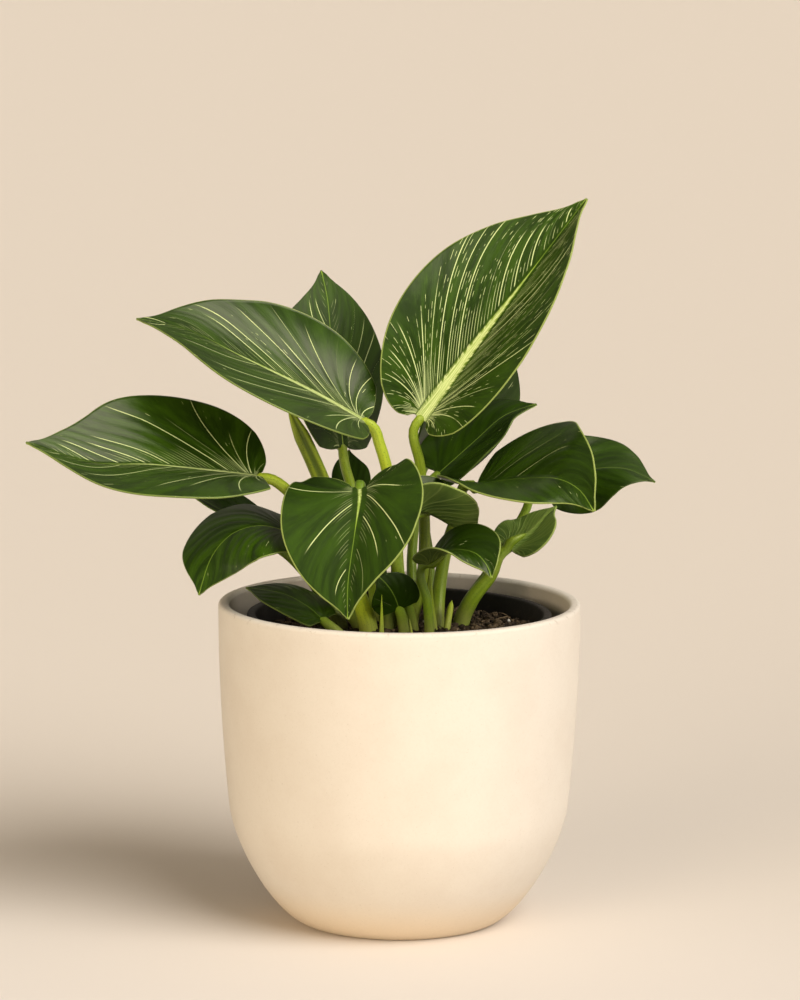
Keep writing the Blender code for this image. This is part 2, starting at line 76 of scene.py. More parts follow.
# A turned outline stops just short of the axis, so that it closes as a ring
AXIS_RADIUS = 0.01
GLAZE_CREAM = (0.60, 0.54, 0.455)
GLAZE_SHADE = (0.58, 0.515, 0.43)
GLAZE_FOOT = (0.64, 0.52, 0.37)
GLAZE_INSIDE_SHADED = (0.50, 0.43, 0.34)
GLAZE_SCUFF = (0.33, 0.26, 0.18)


class Reading:
    """A number or colour that a finish works out at every point of a surface."""

    def __init__(self, tree, socket):
        self.tree = tree
        self.socket = socket

    def worked(self, operation, *others):
        node = self.tree.nodes.new("ShaderNodeMath")
        node.operation = operation
        for entry, value in zip(node.inputs, (self, *others)):
            feed(self.tree, entry, value)
        return Reading(self.tree, node.outputs[0])

    def __add__(self, other):
        return self.worked("ADD", other)

    def __sub__(self, other):
        return self.worked("SUBTRACT", other)

    def __mul__(self, other):
        return self.worked("MULTIPLY", other)

    def __truediv__(self, other):
        return self.worked("DIVIDE", other)

    def __pow__(self, other):
        return self.worked("POWER", other)

    def rise(self, low, high, start=0.0, end=1.0):
        """Goes smoothly from start to end as the reading goes from low to high."""
        node = self.tree.nodes.new("ShaderNodeMapRange")
        node.interpolation_type = "SMOOTHSTEP"
        for entry, value in zip(node.inputs, (self, low, high, start, end)):
            feed(self.tree, entry, value)
        return Reading(self.tree, node.outputs[0])

    def fall(self, low, high):
        return self.rise(low, high, 1.0, 0.0)


def feed(tree, entry, value):
    if isinstance(value, Reading):
        tree.links.new(value.socket, entry)
    elif isinstance(value, tuple) and len(value) == 3 and entry.type == "RGBA":
        entry.default_value = (*value, 1.0)
    else:
        entry.default_value = value


class Finish:
    """A material in the making, with the readings that its colour, gloss and relief are worked out from."""

    def __init__(self, name):
        self.material = bpy.data.materials.new(name)
        self.material.use_nodes = True
        self.tree = self.material.node_tree
        self.shader = self.tree.nodes["Principled BSDF"]

    def written(self, name):
        """A number written on the mesh's points."""
        node = self.tree.nodes.new("ShaderNodeAttribute")
        node.attribute_name = name
        return Reading(self.tree, node.outputs["Fac"])

    def all_written(self, names):
        return [self.written(name) for name in names.split()]

    def place(self):
        """The point's place on the piece, in millimetres."""
        where = self.tree.nodes.new("ShaderNodeTexCoord")
        scaled = self.tree.nodes.new("ShaderNodeVectorMath")
        scaled.operation = "SCALE"
        scaled.inputs["Scale"].default_value = 1 / MM
        self.tree.links.new(where.outputs["Object"], scaled.inputs[0])
        return Reading(self.tree, scaled.outputs[0])

    def spot(self, x=0.0, y=0.0, z=0.0):
        """Three readings taken as one place, to look noise up at."""
        node = self.tree.nodes.new("ShaderNodeCombineXYZ")
        for entry, value in zip(node.inputs, (x, y, z)):
            feed(self.tree, entry, value)
        return Reading(self.tree, node.outputs[0])

    def cloud(self, where, scale=1.0, detail=2.0, roughness=0.5):
        """Soft noise round 0.5."""
        node = self.tree.nodes.new("ShaderNodeTexNoise")
        feed(self.tree, node.inputs["Vector"], where)
        node.inputs["Scale"].default_value = scale
        node.inputs["Detail"].default_value = detail
        node.inputs["Roughness"].default_value = roughness
        return Reading(self.tree, node.outputs[0])

    def chance(self, number):
        """A random number from 0 to 1 that belongs to a whole number."""
        node = self.tree.nodes.new("ShaderNodeTexWhiteNoise")
        node.noise_dimensions = "1D"
        feed(self.tree, node.inputs["W"], number)
        return Reading(self.tree, node.outputs["Value"])

    def mixed(self, share, first, second):
        """The first colour where share is 0 and the second where it is 1."""
        node = self.tree.nodes.new("ShaderNodeMix")
        node.data_type = "RGBA"
        feed(self.tree, node.inputs[0], share)
        feed(self.tree, node.inputs[6], first)
        feed(self.tree, node.inputs[7], second)
        return Reading(self.tree, node.outputs[2])

    def give(self, color, roughness, relief=None, depth=0.1):
        """Sets colour and roughness, and raises the surface by up to depth millimetres where relief is 1."""
        feed(self.tree, self.shader.inputs["Base Color"], color)
        feed(self.tree, self.shader.inputs["Roughness"], roughness)
        if relief is not None:
            bump = self.tree.nodes.new("ShaderNodeBump")
            bump.inputs["Distance"].default_value = depth * MM
            feed(self.tree, bump.inputs["Height"], relief)
            self.tree.links.new(bump.outputs["Normal"], self.shader.inputs["Normal"])
        return self


def make_piece(name, points, faces, finishes, stands_for=()):
    """A mesh piece from points in millimetres, riding on the plant and standing for its solids."""
    mesh = bpy.data.meshes.new(name)
    mesh.from_pydata((np.asarray(points, float) * MM).tolist(), [], faces)
    mesh.shade_smooth()
    for finish in finishes:
        mesh.materials.append(finish.material)
    piece = bpy.data.objects.new(name, mesh)
    bpy.context.scene.collection.objects.link(piece)
    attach(piece, "root")
    if stands_for:
        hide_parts(*stands_for)
    return piece


def write_numbers(piece, name, values):
    layer = piece.data.attributes.new(name, "FLOAT", "POINT")
    layer.data.foreach_set("value", np.asarray(values, np.float32))


def turned_points(profile, sides):
    """The points and faces of a ring-shaped closed body, turned from a closed (radius, height) outline."""
    outline = np.asarray(profile, float)
    angles = np.linspace(0, 2 * np.pi, sides, endpoint=False)
    points = np.empty((sides, len(outline), 3))
    points[..., 0] = np.cos(angles)[:, None] * outline[:, 0]
    points[..., 1] = np.sin(angles)[:, None] * outline[:, 0]
    points[..., 2] = outline[:, 1]
    faces = []
    for side in range(sides):
        here, there = side * len(outline), (side + 1) % sides * len(outline)
        for k in range(len(outline)):
            after = (k + 1) % len(outline)
            faces.append((here + k, there + k, there + after, here + after))
    return points.reshape(-1, 3), faces


def arc(centre, radius, start, end, steps):
    """Points on a quarter or half round of an outline, between two angles in degrees."""
    turn = np.radians(np.linspace(start, end, steps))
    return [(centre[0] + radius * math.cos(a), centre[1] + radius * math.sin(a)) for a in turn]


def planter_outside(height):
    if height <= PLANTER_CORNER_HEIGHT:
        turn = math.acos((1 - height / PLANTER_CORNER_HEIGHT) ** (1 / PLANTER_CORNER_FULLNESS))
        swell = math.sin(turn) ** PLANTER_CORNER_FULLNESS
        return PLANTER_FOOT_RADIUS + (PLANTER_CORNER_RADIUS - PLANTER_FOOT_RADIUS) * swell
    rise = (height - PLANTER_CORNER_HEIGHT) / (PLANTER_HEIGHT - PLANTER_CORNER_HEIGHT)
    return PLANTER_CORNER_RADIUS + (PLANTER_RADIUS - PLANTER_CORNER_RADIUS) * (1 - (1 - rise) ** 2)


def planter_outline():
    """From the middle of the underside round the outside and the lip to the middle of the floor."""
    lip_z = PLANTER_HEIGHT - PLANTER_LIP
    corner = PLANTER_CORNER_HEIGHT * (1 - np.cos(np.linspace(0, math.pi / 2, 30)))
    wall = np.linspace(PLANTER_CORNER_HEIGHT, lip_z, 26)[1:-1]
    outside = [(planter_outside(z), z) for z in (*corner, *wall)]
    lip = arc((PLANTER_RADIUS - PLANTER_LIP, lip_z), PLANTER_LIP, 0, 90, 6)
    lip += arc((PLANTER_RADIUS - PLANTER_WALL + PLANTER_LIP, lip_z), PLANTER_LIP, 90, 180, 6)
    inside_z = np.linspace(lip_z, PLANTER_FLOOR + PLANTER_FLOOR_ROUND, 24)[1:]
    inside = [(planter_outside(z) - PLANTER_WALL, z) for z in inside_z]
    turn = np.linspace(0, math.pi / 2, 8)[1:]
    corner_inside = [(PLANTER_FLOOR_RADIUS + (inside[-1][0] - PLANTER_FLOOR_RADIUS) * math.cos(a),
                      PLANTER_FLOOR + PLANTER_FLOOR_ROUND * (1 - math.sin(a))) for a in turn]
    return [(AXIS_RADIUS, 0.0), *outside, *lip, *inside, *corner_inside, (AXIS_RADIUS, PLANTER_FLOOR)]


def glaze_finish():
    glaze = Finish("cream_glaze")
    place = glaze.place()
    inside, height = glaze.all_written("inside height")
    mottle = glaze.cloud(place, 0.045, 4.0, 0.6)
    grain = glaze.cloud(place, 0.9, 3.0, 0.6)
    speck = glaze.cloud(place, 1.6, 1.0)
    color = glaze.mixed(mottle.rise(0.35, 0.7), GLAZE_CREAM, GLAZE_SHADE)
    color = glaze.mixed(height.fall(3, 22) * 0.9, color, GLAZE_FOOT)
    color = glaze.mixed(grain.rise(0.4, 0.8) * 0.10, color, (0.42, 0.34, 0.24))
    color = glaze.mixed(speck.rise(0.72, 0.76) * 0.3, color, GLAZE_SCUFF)
    # Inside the pot the glaze is painted greyer and darker: partly the thinner glaze, partly painted shade.
    color = glaze.mixed(inside * (grain.rise(0.2, 0.8) * 0.3 + 0.65), color, GLAZE_INSIDE_SHADED)
    worn = glaze.cloud(place, 0.35, 5.0, 0.7).rise(0.56, 0.72) * height.rise(126.0, 128.6) * 0.7
    color = glaze.mixed(worn, color, GLAZE_SCUFF)
    roughness = mottle * 0.15 + 0.62
    return glaze.give(color, roughness, grain * 0.05 + mottle * 0.5, 0.05)


outline = planter_outline()
points, faces = turned_points(outline, PLANTER_SIDES)
planter = make_piece("planter_glazed", points, faces, [glaze_finish()], ["planter"])
top = max(range(len(outline)), key=lambda k: outline[k][1])
lip_end = next(k for k in range(top, len(outline)) if outline[k][0] <= PLANTER_RADIUS - PLANTER_WALL)
write_numbers(planter, "inside", np.tile(np.arange(len(outline)) >= lip_end, PLANTER_SIDES))
write_numbers(planter, "height", points[:, 2])

# Grower's pot: a thin black plastic pot, formed hot over a mould, with a stiff rolled rim and a drain
# hole. It stands on the planter's floor, and only its rim and a strip of its inside are seen.
FIT_GAP = 0.3
GROWER_FOOT_Z = PLANTER_FLOOR + FIT_GAP
GROWER_BASE_RADIUS = 41.0
GROWER_RIM_RADIUS = 61.0
GROWER_RIM_Z = 124.5
GROWER_WALL = 1.0
GROWER_LIP = 2.4
GROWER_LIP_DROP = 5.0
GROWER_ROUND = 0.9
DRAIN_HOLE_RADIUS = 5.0
GROWER_SIDES = 144


def grower_radius(height):
    share = (height - GROWER_FOOT_Z) / (GROWER_RIM_Z - GROWER_FOOT_Z)
    return GROWER_BASE_RADIUS + (GROWER_RIM_RADIUS - GROWER_LIP - GROWER_BASE_RADIUS) * share


def grower_outline():
    lip_z = GROWER_RIM_Z - GROWER_LIP_DROP
    top = GROWER_RIM_Z - GROWER_ROUND
    inner = grower_radius(GROWER_RIM_Z) - GROWER_WALL
    walls = np.linspace(GROWER_FOOT_Z + 2.0, lip_z, 12)
    outside = [(DRAIN_HOLE_RADIUS, GROWER_FOOT_Z), (GROWER_BASE_RADIUS - 1.0, GROWER_FOOT_Z)]
    outside += [(grower_radius(z), z) for z in walls]
    rim = arc((GROWER_RIM_RADIUS - GROWER_ROUND, lip_z + GROWER_ROUND), GROWER_ROUND, -90, 0, 5)
    rim += arc((GROWER_RIM_RADIUS - GROWER_ROUND, top), GROWER_ROUND, 0, 90, 5)
    rim += arc((inner + GROWER_ROUND, top), GROWER_ROUND, 90, 180, 5)
    inside = [(grower_radius(z) - GROWER_WALL, z) for z in walls[::-1]]
    floor_z = GROWER_FOOT_Z + GROWER_WALL
    return outside + rim + inside + [(GROWER_BASE_RADIUS - 2.0, floor_z), (DRAIN_HOLE_RADIUS, floor_z)]


def plastic_finish():
    plastic = Finish("black_plastic_scuffed")
    place = plastic.place()
    dust = plastic.cloud(place, 0.25, 5.0, 0.7)
    color = plastic.mixed(dust.rise(0.5, 0.8) * 0.5, (0.010, 0.009, 0.008), (0.05, 0.04, 0.03))
    plastic.shader.inputs["Specular IOR Level"].default_value = 0.3
    return plastic.give(color, dust * 0.3 + 0.4, plastic.cloud(place, 0.6), 0.1)


points, faces = turned_points(grower_outline(), GROWER_SIDES)
make_piece("grower_pot_rolled", points, faces, [plastic_finish()], ["grower_pot"])

# Soil: peat with bark, fibre and white perlite, filled to below the rim. It is lumpy, dark and a little
# dry on top, with crumbs, perlite and fibres lying loose on it.
SOIL_EDGE_Z = 116.5
SOIL_CROWN_Z = 118.5
SOIL_DOME = 0.7
SOIL_FLOOR_Z = GROWER_FOOT_Z + GROWER_WALL + FIT_GAP
SOIL_INSET = GROWER_WALL + FIT_GAP
SOIL_REACH = 54.0
SOIL_SIDES = 200
SOIL_RINGS = 84
SOIL_LUMP = 2.2
CRUMBS = 1400
PERLITE = 40
FIBRES = 260


def soil_top(x, y):
    """Height of the soil at a place, with its lumps."""
    radius = math.hypot(x, y)
    rise = max(0.0, 1 - radius / GROWER_RIM_RADIUS) ** SOIL_DOME
    lumps = noise.fractal((x * 0.16, y * 0.16, 3.0), 0.8, 2.1, 5)
    return SOIL_EDGE_Z + (SOIL_CROWN_Z - SOIL_EDGE_Z) * rise + SOIL_LUMP * (lumps * 0.5 - 0.25)


def soil_finish():
    soil = Finish("potting_soil")
    place = soil.place()
    lumps = soil.cloud(place, 0.32, 6.0, 0.7)
    grit = soil.cloud(place, 1.7, 3.0, 0.7)
    color = soil.mixed(lumps.rise(0.42, 0.68), (0.012, 0.008, 0.005), (0.05, 0.032, 0.018))
    color = soil.mixed(grit.rise(0.58, 0.7) * 0.6, color, (0.13, 0.09, 0.05))
    return soil.give(color, 0.95, grit + lumps, 0.9)


def scrap_finish(name, dark, pale):
    """Crumbs, perlite and fibres: each scrap takes its own tone between two colours."""
    scrap = Finish(name)
    place = scrap.place()
    tone = scrap.written("tone")
    grit = scrap.cloud(place, 1.9, 4.0, 0.7)
    color = scrap.mixed(tone * tone * 0.8 + grit * 0.5 - 0.2, dark, pale)
    return scrap.give(color, 0.92, grit, 0.5)


def scattered(count, seed, lean):
    """Places on the soil, more of them towards +X the larger lean is, up to 1."""
    random = np.random.default_rng(seed)
    places = []
    while len(places) < count:
        x, y = random.uniform(-SOIL_REACH, SOIL_REACH, 2)
        if math.hypot(x, y) < SOIL_REACH and random.uniform() < 0.5 + 0.5 * lean * x / SOIL_REACH:
            places.append((x, y, soil_top(x, y)))
    return random, places


def ball_points():
    """The corners and faces of a round lump with 42 corners."""
    ball = bmesh.new()
    bmesh.ops.create_icosphere(ball, subdivisions=2, radius=1.0)
    corners = np.array([v.co for v in ball.verts])
    faces = np.array([[v.index for v in f.verts] for f in ball.faces])
    ball.free()
    return corners, faces


def make_scraps(name, points, faces, tones, finish):
    piece = make_piece(name, points, faces, [finish])
    write_numbers(piece, "tone", tones)


def make_grains(name, count, seed, sizes, finish, lean, sunk):
    """Rough lumps lying on the soil, joined in one mesh."""
    random, places = scattered(count, seed, lean)
    corners, ball_faces = ball_points()
    points, faces, tones = [], [], []
    for number, place in enumerate(places):
        size = sizes[0] + (sizes[1] - sizes[0]) * random.uniform() ** 2.5
        stretch = random.uniform(0.65, 1.15, 3)
        knobs = 1 + 0.9 * np.array([noise.noise(corner * 2.6 + number) for corner in corners])
        turn = Matrix.Rotation(random.uniform(0, 6.28), 3, random.normal(size=3))
        grain = (corners * knobs[:, None] * stretch * size) @ np.array(turn)
        faces += (ball_faces + len(points) * len(corners)).tolist()
        points.append(grain + np.array(place) + (0, 0, size * (0.5 - sunk)))
        tones += [random.uniform()] * len(corners)
    make_scraps(name, np.vstack(points), faces, tones, finish)


def make_fibres(name, count, seed, finish, lean):
    """Thin bent strips of peat and bark, each one a closed three-sided thread."""
    random, places = scattered(count, seed, lean)
    points, faces, tones = [], [], []
    steps = 7
    for place in places:
        length = random.uniform(2.5, 9.0)
        heading = random.uniform(0, 2 * math.pi)
        bend = random.uniform(-1.2, 1.2)
        lift = random.uniform(0.0, 0.5)
        thick = random.uniform(0.12, 0.32)
        first = len(points)
        spot = np.array(place) + (0, 0, 0.3)
        for step in range(steps):
            share = step / (steps - 1)
            way = np.array((math.cos(heading + bend * share), math.sin(heading + bend * share),
                            lift * (1 - 1.6 * share)))
            beside = np.array((-way[1], way[0], 0.0))
            radius = thick * math.sin(math.pi * (0.12 + 0.76 * share))
            for corner in range(3):
                angle = 2 * math.pi * corner / 3
                above = np.array((0, 0, math.sin(angle)))
                points.append(spot + radius * (math.cos(angle) * beside * 1.8 + above))
            spot = spot + way * length / steps
        for step in range(steps - 1):
            here = first + 3 * step
            for corner in range(3):
                after = (corner + 1) % 3
                faces.append((here + corner, here + after, here + 3 + after, here + 3 + corner))
        faces.append((first + 2, first + 1, first))
        last = first + 3 * (steps - 1)
        faces.append((last, last + 1, last + 2))
        tones += [random.uniform()] * (3 * steps)
    make_scraps(name, points, faces, tones, finish)


def make_soil():
    edge = grower_radius(SOIL_EDGE_Z) - SOIL_INSET
    foot = GROWER_BASE_RADIUS - SOIL_INSET
    outline = [(AXIS_RADIUS, SOIL_FLOOR_Z), (foot, SOIL_FLOOR_Z)]
    outline += [(foot + (edge - foot) * k / 6, SOIL_FLOOR_Z + (SOIL_EDGE_Z - SOIL_FLOOR_Z) * k / 6)
                for k in range(1, 6)]
    first_top = len(outline)
    outline += [(edge * (1 - k / SOIL_RINGS) + AXIS_RADIUS, SOIL_EDGE_Z) for k in range(SOIL_RINGS + 1)]
    points, faces = turned_points(outline, SOIL_SIDES)
    for number, point in enumerate(points):
        if number % len(outline) >= first_top:
            point[2] = soil_top(point[0], point[1])
    make_piece("soil_lumpy", points, faces, [soil_finish()], ["soil"])


make_soil()
make_grains("soil_crumbs", CRUMBS, 4, (0.35, 1.9),
            scrap_finish("soil_crumb", (0.008, 0.005, 0.003), (0.15, 0.105, 0.06)), lean=0.8, sunk=0.2)
make_grains("soil_perlite", PERLITE, 9, (0.35, 1.1),
            scrap_finish("perlite", (0.50, 0.46, 0.38), (0.85, 0.82, 0.75)), lean=0.9, sunk=0.0)
make_fibres("soil_fibres", FIBRES, 21,
            scrap_finish("bark_fibre", (0.05, 0.032, 0.018), (0.30, 0.21, 0.12)), lean=0.6)

# Blades: each leaf is one heart-shaped blade, thin and leathery, that grew rolled up and opened along
# its midrib. The pale lines are streaks without green along its side veins, mostly short broken dashes.
HALF_OUTLINE = ((-0.035, 0.14), (-0.062, 0.30), (-0.035, 0.53), (0.06, 0.79), (0.20, 0.96), (0.37, 1.0),
                (0.55, 0.91), (0.71, 0.68), (0.83, 0.39), (0.92, 0.145), (1.0, 0.0))
WIDEST_SHARE = 0.5
TIP_SHARE = 0.985
TIP_TAPER_SHARE = 0.95
TIP_TAPER = 0.85
BLADE_THICKNESS = 0.7
RIB_THICKNESS = 0.65
RIB_TAPER = 0.8
RIB_SHARE = 0.6
COLLAR_GAP = 0.8
NOTCH_MARGIN = 1.5
FOLD_OPENING = 0.35
# Side veins up to FAN_SHARE of the outline fan out from the stalk, the first turned back by FAN_BACK
# degrees. The others leave the rib at VEIN_LEAVES_AT degrees, and at VEIN_AT_TIP near the tip.
FAN_SHARE = 0.46
FAN_START = 0.05
FAN_BACK = 60
FAN_POWER = 0.8
FAN_SWING = 0.5
FAN_VEINS = 0.35
VEIN_LEAVES_AT = 42.0
VEIN_AT_TIP = 26.0
VEIN_SWING = 0.6
VEIN_CROWDING = 2.4
VEIN_SPACING = 1.6
# Steps from notch to tip and from rib to edge, on a blade wider than LARGE_BLADE and on a smaller one
LARGE_BLADE = 40
LARGE_STEPS = (96, 24)
SMALL_STEPS = (64, 16)
RIB_POINTS = 241
RIB_PLACES = 4
VEIN_SINK = 0.11
RIB_SINK = 0.35
EDGE_ROUND = 0.2
LEAF_DARK = (0.010, 0.024, 0.001)
LEAF_MID = (0.030, 0.068, 0.002)
LEAF_LIGHT = (0.055, 0.112, 0.004)
LEAF_PALE = (0.52, 0.58, 0.25)
RIB_PALE = (0.56, 0.61, 0.25)
RIB_GREEN = (0.25, 0.36, 0.035)
EDGE_PALE = (0.30, 0.36, 0.09)
UNDER_DARK = (0.045, 0.085, 0.012)
UNDER_MID = (0.095, 0.15, 0.022)
UNDER_LINE = (0.20, 0.26, 0.06)
UP = (0.0, 0.0, 1.0)
FRONT = (0.0, -1.0, 0.3)
LEAVES = (
    dict(name="top_right", width=72, turn=(65, 20), fold=(35, 60), curl=(-15, -15), lobe=(0.6, 0.6),
         face=UP, rib=((8, 14, 201), (30, 24, 230), (53, 36, 259), (76, 50, 288)),
         stalk=((5, 13, 118), (9, 15, 135), (10, 16, 155), (8, 15, 182)), radius=(3.0, 1.9)),
    dict(name="upper_left", width=72, turn=(-8, -12), fold=(-5, 15), curl=(0, 52), lobe=(0.4, 0.4),
         face=UP, rib=((-14, -8, 203), (-35, -10, 215), (-63, -12, 229), (-83, -13, 239), (-105, -14, 244)),
         stalk=((0, 3, 118), (-1, 2, 147), (-4, -4, 178), (-8, -7, 193)), radius=(3.4, 2.3)),
    dict(name="left", width=72, turn=(2, -12), fold=(-2, 46), curl=(-16, 8), lobe=(0.0, 0.6),
         face=UP, rib=((-55, -24, 183), (-76, -29, 186), (-97, -36, 189), (-120, -44, 191), (-145, -52, 200)),
         stalk=((-12, -8, 118), (-19, -14, 140), (-32, -19, 164), (-43, -22, 176)), radius=(4.6, 2.2)),
    dict(name="back", width=57, turn=(50, 10), fold=(10, -8), curl=(8, -10), lobe=(0.2, 0.2),
         face=FRONT, rib=((-23, 36, 186), (-25, 40, 205), (-28, 46, 225), (-30, 54, 244), (-33, 60, 257)),
         stalk=((-9, 12, 118), (-12, 20, 142), (-18, 30, 165)), radius=(3.0, 2.0)),
    dict(name="front", width=60, turn=(5, 20), fold=(38, 20), curl=(-18, 5), lobe=(0.9, 0.9),
         face=FRONT,
         rib=((-16, -12, 177), (-16, -23, 173), (-18, -39, 160), (-20, -52, 145), (-20, -61, 132)),
         stalk=((-5, -3, 118), (-8, -3, 143), (-14, -3, 167)), radius=(3.4, 2.0)),
    dict(name="low_left", width=46, turn=(-22, -28), fold=(8, 0), curl=(-10, -25), lobe=(0.0, 0.3),
         face=UP, rib=((-43, -18, 160), (-55, -22, 163), (-66, -25, 160), (-74, -28, 151), (-79, -32, 136)),
         stalk=((-16, 1, 118), (-25, -4, 130), (-36, -12, 148)), radius=(3.2, 1.9)),
    dict(name="low_left_back", width=29, turn=(5, -33), fold=(25, 25), curl=(5, 35), lobe=(0.3, 0.3),
         face=UP, rib=((-50, 10, 150), (-60, 10, 156), (-71, 8, 164), (-83, 5, 171)),
         stalk=((-23, 4, 118), (-29, 7, 127), (-38, 9, 139)), radius=(3.3, 2.0)),
    dict(name="rim_left", width=25, turn=(-10, -20), fold=(0, 2), curl=(-5, -27), lobe=(0.0, 0.0),
         face=UP, rib=((-30, -14, 124), (-37, -10, 129), (-47, -5, 133), (-62, 2, 134)),
         stalk=((-23, -17, 118),), radius=(2.4, 2.0)),
    dict(name="right", width=60, turn=(0, 48), fold=(52, 13), curl=(-35, 15), lobe=(0.0, 0.2),
         face=UP, rib=((29, 20, 174), (48, 0, 179), (61, -20, 182), (70, -30, 179), (76, -38, 171)),
         stalk=((15, 5, 118), (16, 14, 132), (19, 20, 148), (23, 24, 160)), radius=(3.4, 2.2)),
    dict(name="far_right", width=38, turn=(50, 0), fold=(5, -20), curl=(10, -50), lobe=(0.4, 0.4),
         face=UP, rib=((60, 34, 174), (77, 34, 178), (91, 30, 179), (104, 26, 174)),
         stalk=((25, 24, 118), (37, 30, 137), (51, 34, 160)), radius=(2.6, 1.7)),
    dict(name="back_right", width=38, turn=(45, 20), fold=(25, 30), curl=(-60, 20), lobe=(0.5, 0.5),
         face=UP, rib=((15, 31, 176), (30, 35, 189), (42, 39, 199), (56, 41, 204)),
         stalk=((13, 21, 118), (12, 30, 141), (10, 31, 164)), radius=(2.6, 1.8)),
    dict(name="far_back", width=50, turn=(50, 30), fold=(20, 5), curl=(0, -20), lobe=(0.3, 0.3),
         face=FRONT, rib=((12, 57, 177), (24, 62, 193), (37, 68, 207), (47, 73, 224)),
         stalk=((6, 32, 118), (5, 46, 139), (8, 55, 164)), radius=(2.6, 1.8)),
    dict(name="rolled", width=38, turn=(8, 0), fold=(46, 68), curl=(0, 0), lobe=(1.0, 4.5),
         face=UP,
         rib=((4, -12, 168), (10, -11, 168), (16, -10, 165), (22, -8, 161), (27, -5, 159), (32, -2, 158)),
         stalk=((5, -4, 118), (1, -7, 135), (-2, -9, 153)), radius=(3.2, 2.2)),
    dict(name="low_middle", width=30, turn=(0, 25), fold=(35, 25), curl=(0, 0), lobe=(0.6, 0.6),
         face=UP, rib=((11, -19, 148), (20, -24, 154), (29, -30, 154), (34, -36, 150), (36, -39, 145)),
         stalk=((12, -15, 118), (11, -18, 132)), radius=(2.4, 1.6)),
    dict(name="low_right", width=32, turn=(140, 120), fold=(-15, 5), curl=(0, -15), lobe=(0.1, 0.1),
         face=FRONT, rib=((44, 14, 148), (53, 18, 154), (59, 22, 160), (64, 24, 164)),
         stalk=((25, 14, 118), (30, 12, 129), (37, 12, 138)), radius=(4.4, 2.2)),
    dict(name="inner", width=20, turn=(0, 0), fold=(0, 0), curl=(0, 0), lobe=(0.0, 0.0),
         face=FRONT, rib=((0, -14, 128), (-2, -17, 134), (-5, -19, 139), (-9, -20, 143)),
         stalk=((2, -11, 118),), radius=(3.0, 2.0)),
    dict(name="small_back", width=16, turn=(0, 0), fold=(10, 10), curl=(0, 0), lobe=(0.0, 0.0),
         face=FRONT, rib=((-19, 42, 166), (-20, 43, 172), (-21, 45, 178), (-21, 46, 184)),
         stalk=((-6, 26, 118), (-10, 32, 141)), radius=(2.4, 1.6)),
)

# What each blade shows: how many main side veins a half has, how many of them are pale lines and how
# many short dashes lie between (0 to 1), the pale midrib's half width and how far it reaches, the pale
# edge's width, how light the green is (0 to 1) and how dull the skin. Where a blade lies in the clump's
# shade, its low tone is painted shade. A blade has what LEAF_PLAIN says where its own line is silent.
LEAF_PLAIN = dict(lines=0.0, dashes=0.05, band=0.0, reach=0.3, edge=0.2, tone=0.3, dull=0.0)
LEAF_LOOKS = {
    "top_right": dict(veins=19, lines=0.8, dashes=0.65, band=2.7, reach=0.75, edge=0.5, tone=0.7),
    "upper_left": dict(veins=19, lines=0.5, dashes=0.2, band=3.2, reach=0.75, edge=0.35, tone=0.5),
    "left": dict(veins=15, lines=0.55, dashes=0.2, band=3.0, reach=0.75, edge=0.35, tone=0.6),
    "back": dict(veins=12, lines=0.4, dashes=0.15, band=0.3, reach=0.4, tone=0.5, dull=0.2),
    "front": dict(veins=13, lines=0.45, dashes=0.0, band=0.9, reach=0.45, edge=0.6, tone=0.45, dull=0.4),
    "low_left": dict(veins=12, lines=0.05, band=0.3, edge=0.35, tone=0.7),
    # low_left_back lies in the clump's shade: its green is painted near black and its pale lines and dashes
    # are left out, as painted shade.
    "low_left_back": dict(veins=8, lines=0.05, dashes=0.0, reach=0.4, tone=0.0),
    "rim_left": dict(veins=8, dashes=0.1, edge=0.3, tone=0.4),
    "right": dict(veins=13, lines=0.05, dashes=0.15, band=0.1, reach=0.4, edge=0.6, tone=0.4),
    "far_right": dict(veins=10, band=0.1, tone=0.5),
    "back_right": dict(veins=10),
    "far_back": dict(veins=10, edge=0.15, tone=0.2),
    "rolled": dict(veins=10, lines=0.2, dashes=0.2, band=0.3, reach=0.5, edge=0.5),
    "low_middle": dict(veins=9, lines=0.1, dashes=0.2, band=0.1, reach=0.4, edge=0.45, tone=0.1),
    "low_right": dict(veins=9, lines=0.3, dashes=0.3, band=0.3, reach=0.4, edge=0.4),
    # inner lies in shade under front: it is painted dark, with no dashes and hardly any pale edge, as painted
    # shade.
    "inner": dict(veins=6, dashes=0.0, edge=0.05, tone=0.0),
    "small_back": dict(veins=6, dashes=0.0, edge=0.15, tone=0.2),
}


def smooth_path(points, shares, by_length=False):
    """Points on the smooth curve through the given points, at shares 0..1 of the way along them. The
    points count as evenly spaced, or as far apart as they are when by_length is set."""
    points = np.asarray(points, float)
    gaps = np.linalg.norm(np.diff(points, axis=0), axis=1) if by_length else np.ones(len(points) - 1)
    rates = np.diff(points, axis=0) / gaps[:, None]
    before, after = gaps[:-1, None], gaps[1:, None]
    inner = (rates[:-1] * after + rates[1:] * before) / (before + after)
    slopes = np.vstack([rates[:1], inner, rates[-1:]])
    knots = np.concatenate([[0.0], np.cumsum(gaps)])
    place = np.clip(np.asarray(shares, float), 0, 1) * knots[-1]
    span = np.clip(np.searchsorted(knots, place, side="right") - 1, 0, len(points) - 2)
    gap = gaps[span, None]
    t = (place[:, None] - knots[span, None]) / gap
    start, end = points[span], points[span + 1]
    return ((1 + 2 * t) * (1 - t) ** 2 * start + t * (1 - t) ** 2 * gap * slopes[span]
            + t ** 2 * (3 - 2 * t) * end - t ** 2 * (1 - t) * gap * slopes[span + 1])


def unit(vectors):
    return vectors / np.linalg.norm(vectors, axis=-1, keepdims=True)


def measured(points):
    """How far along a line of points each of them lies."""
    return np.concatenate([[0.0], np.cumsum(np.linalg.norm(np.diff(points, axis=0), axis=1))])


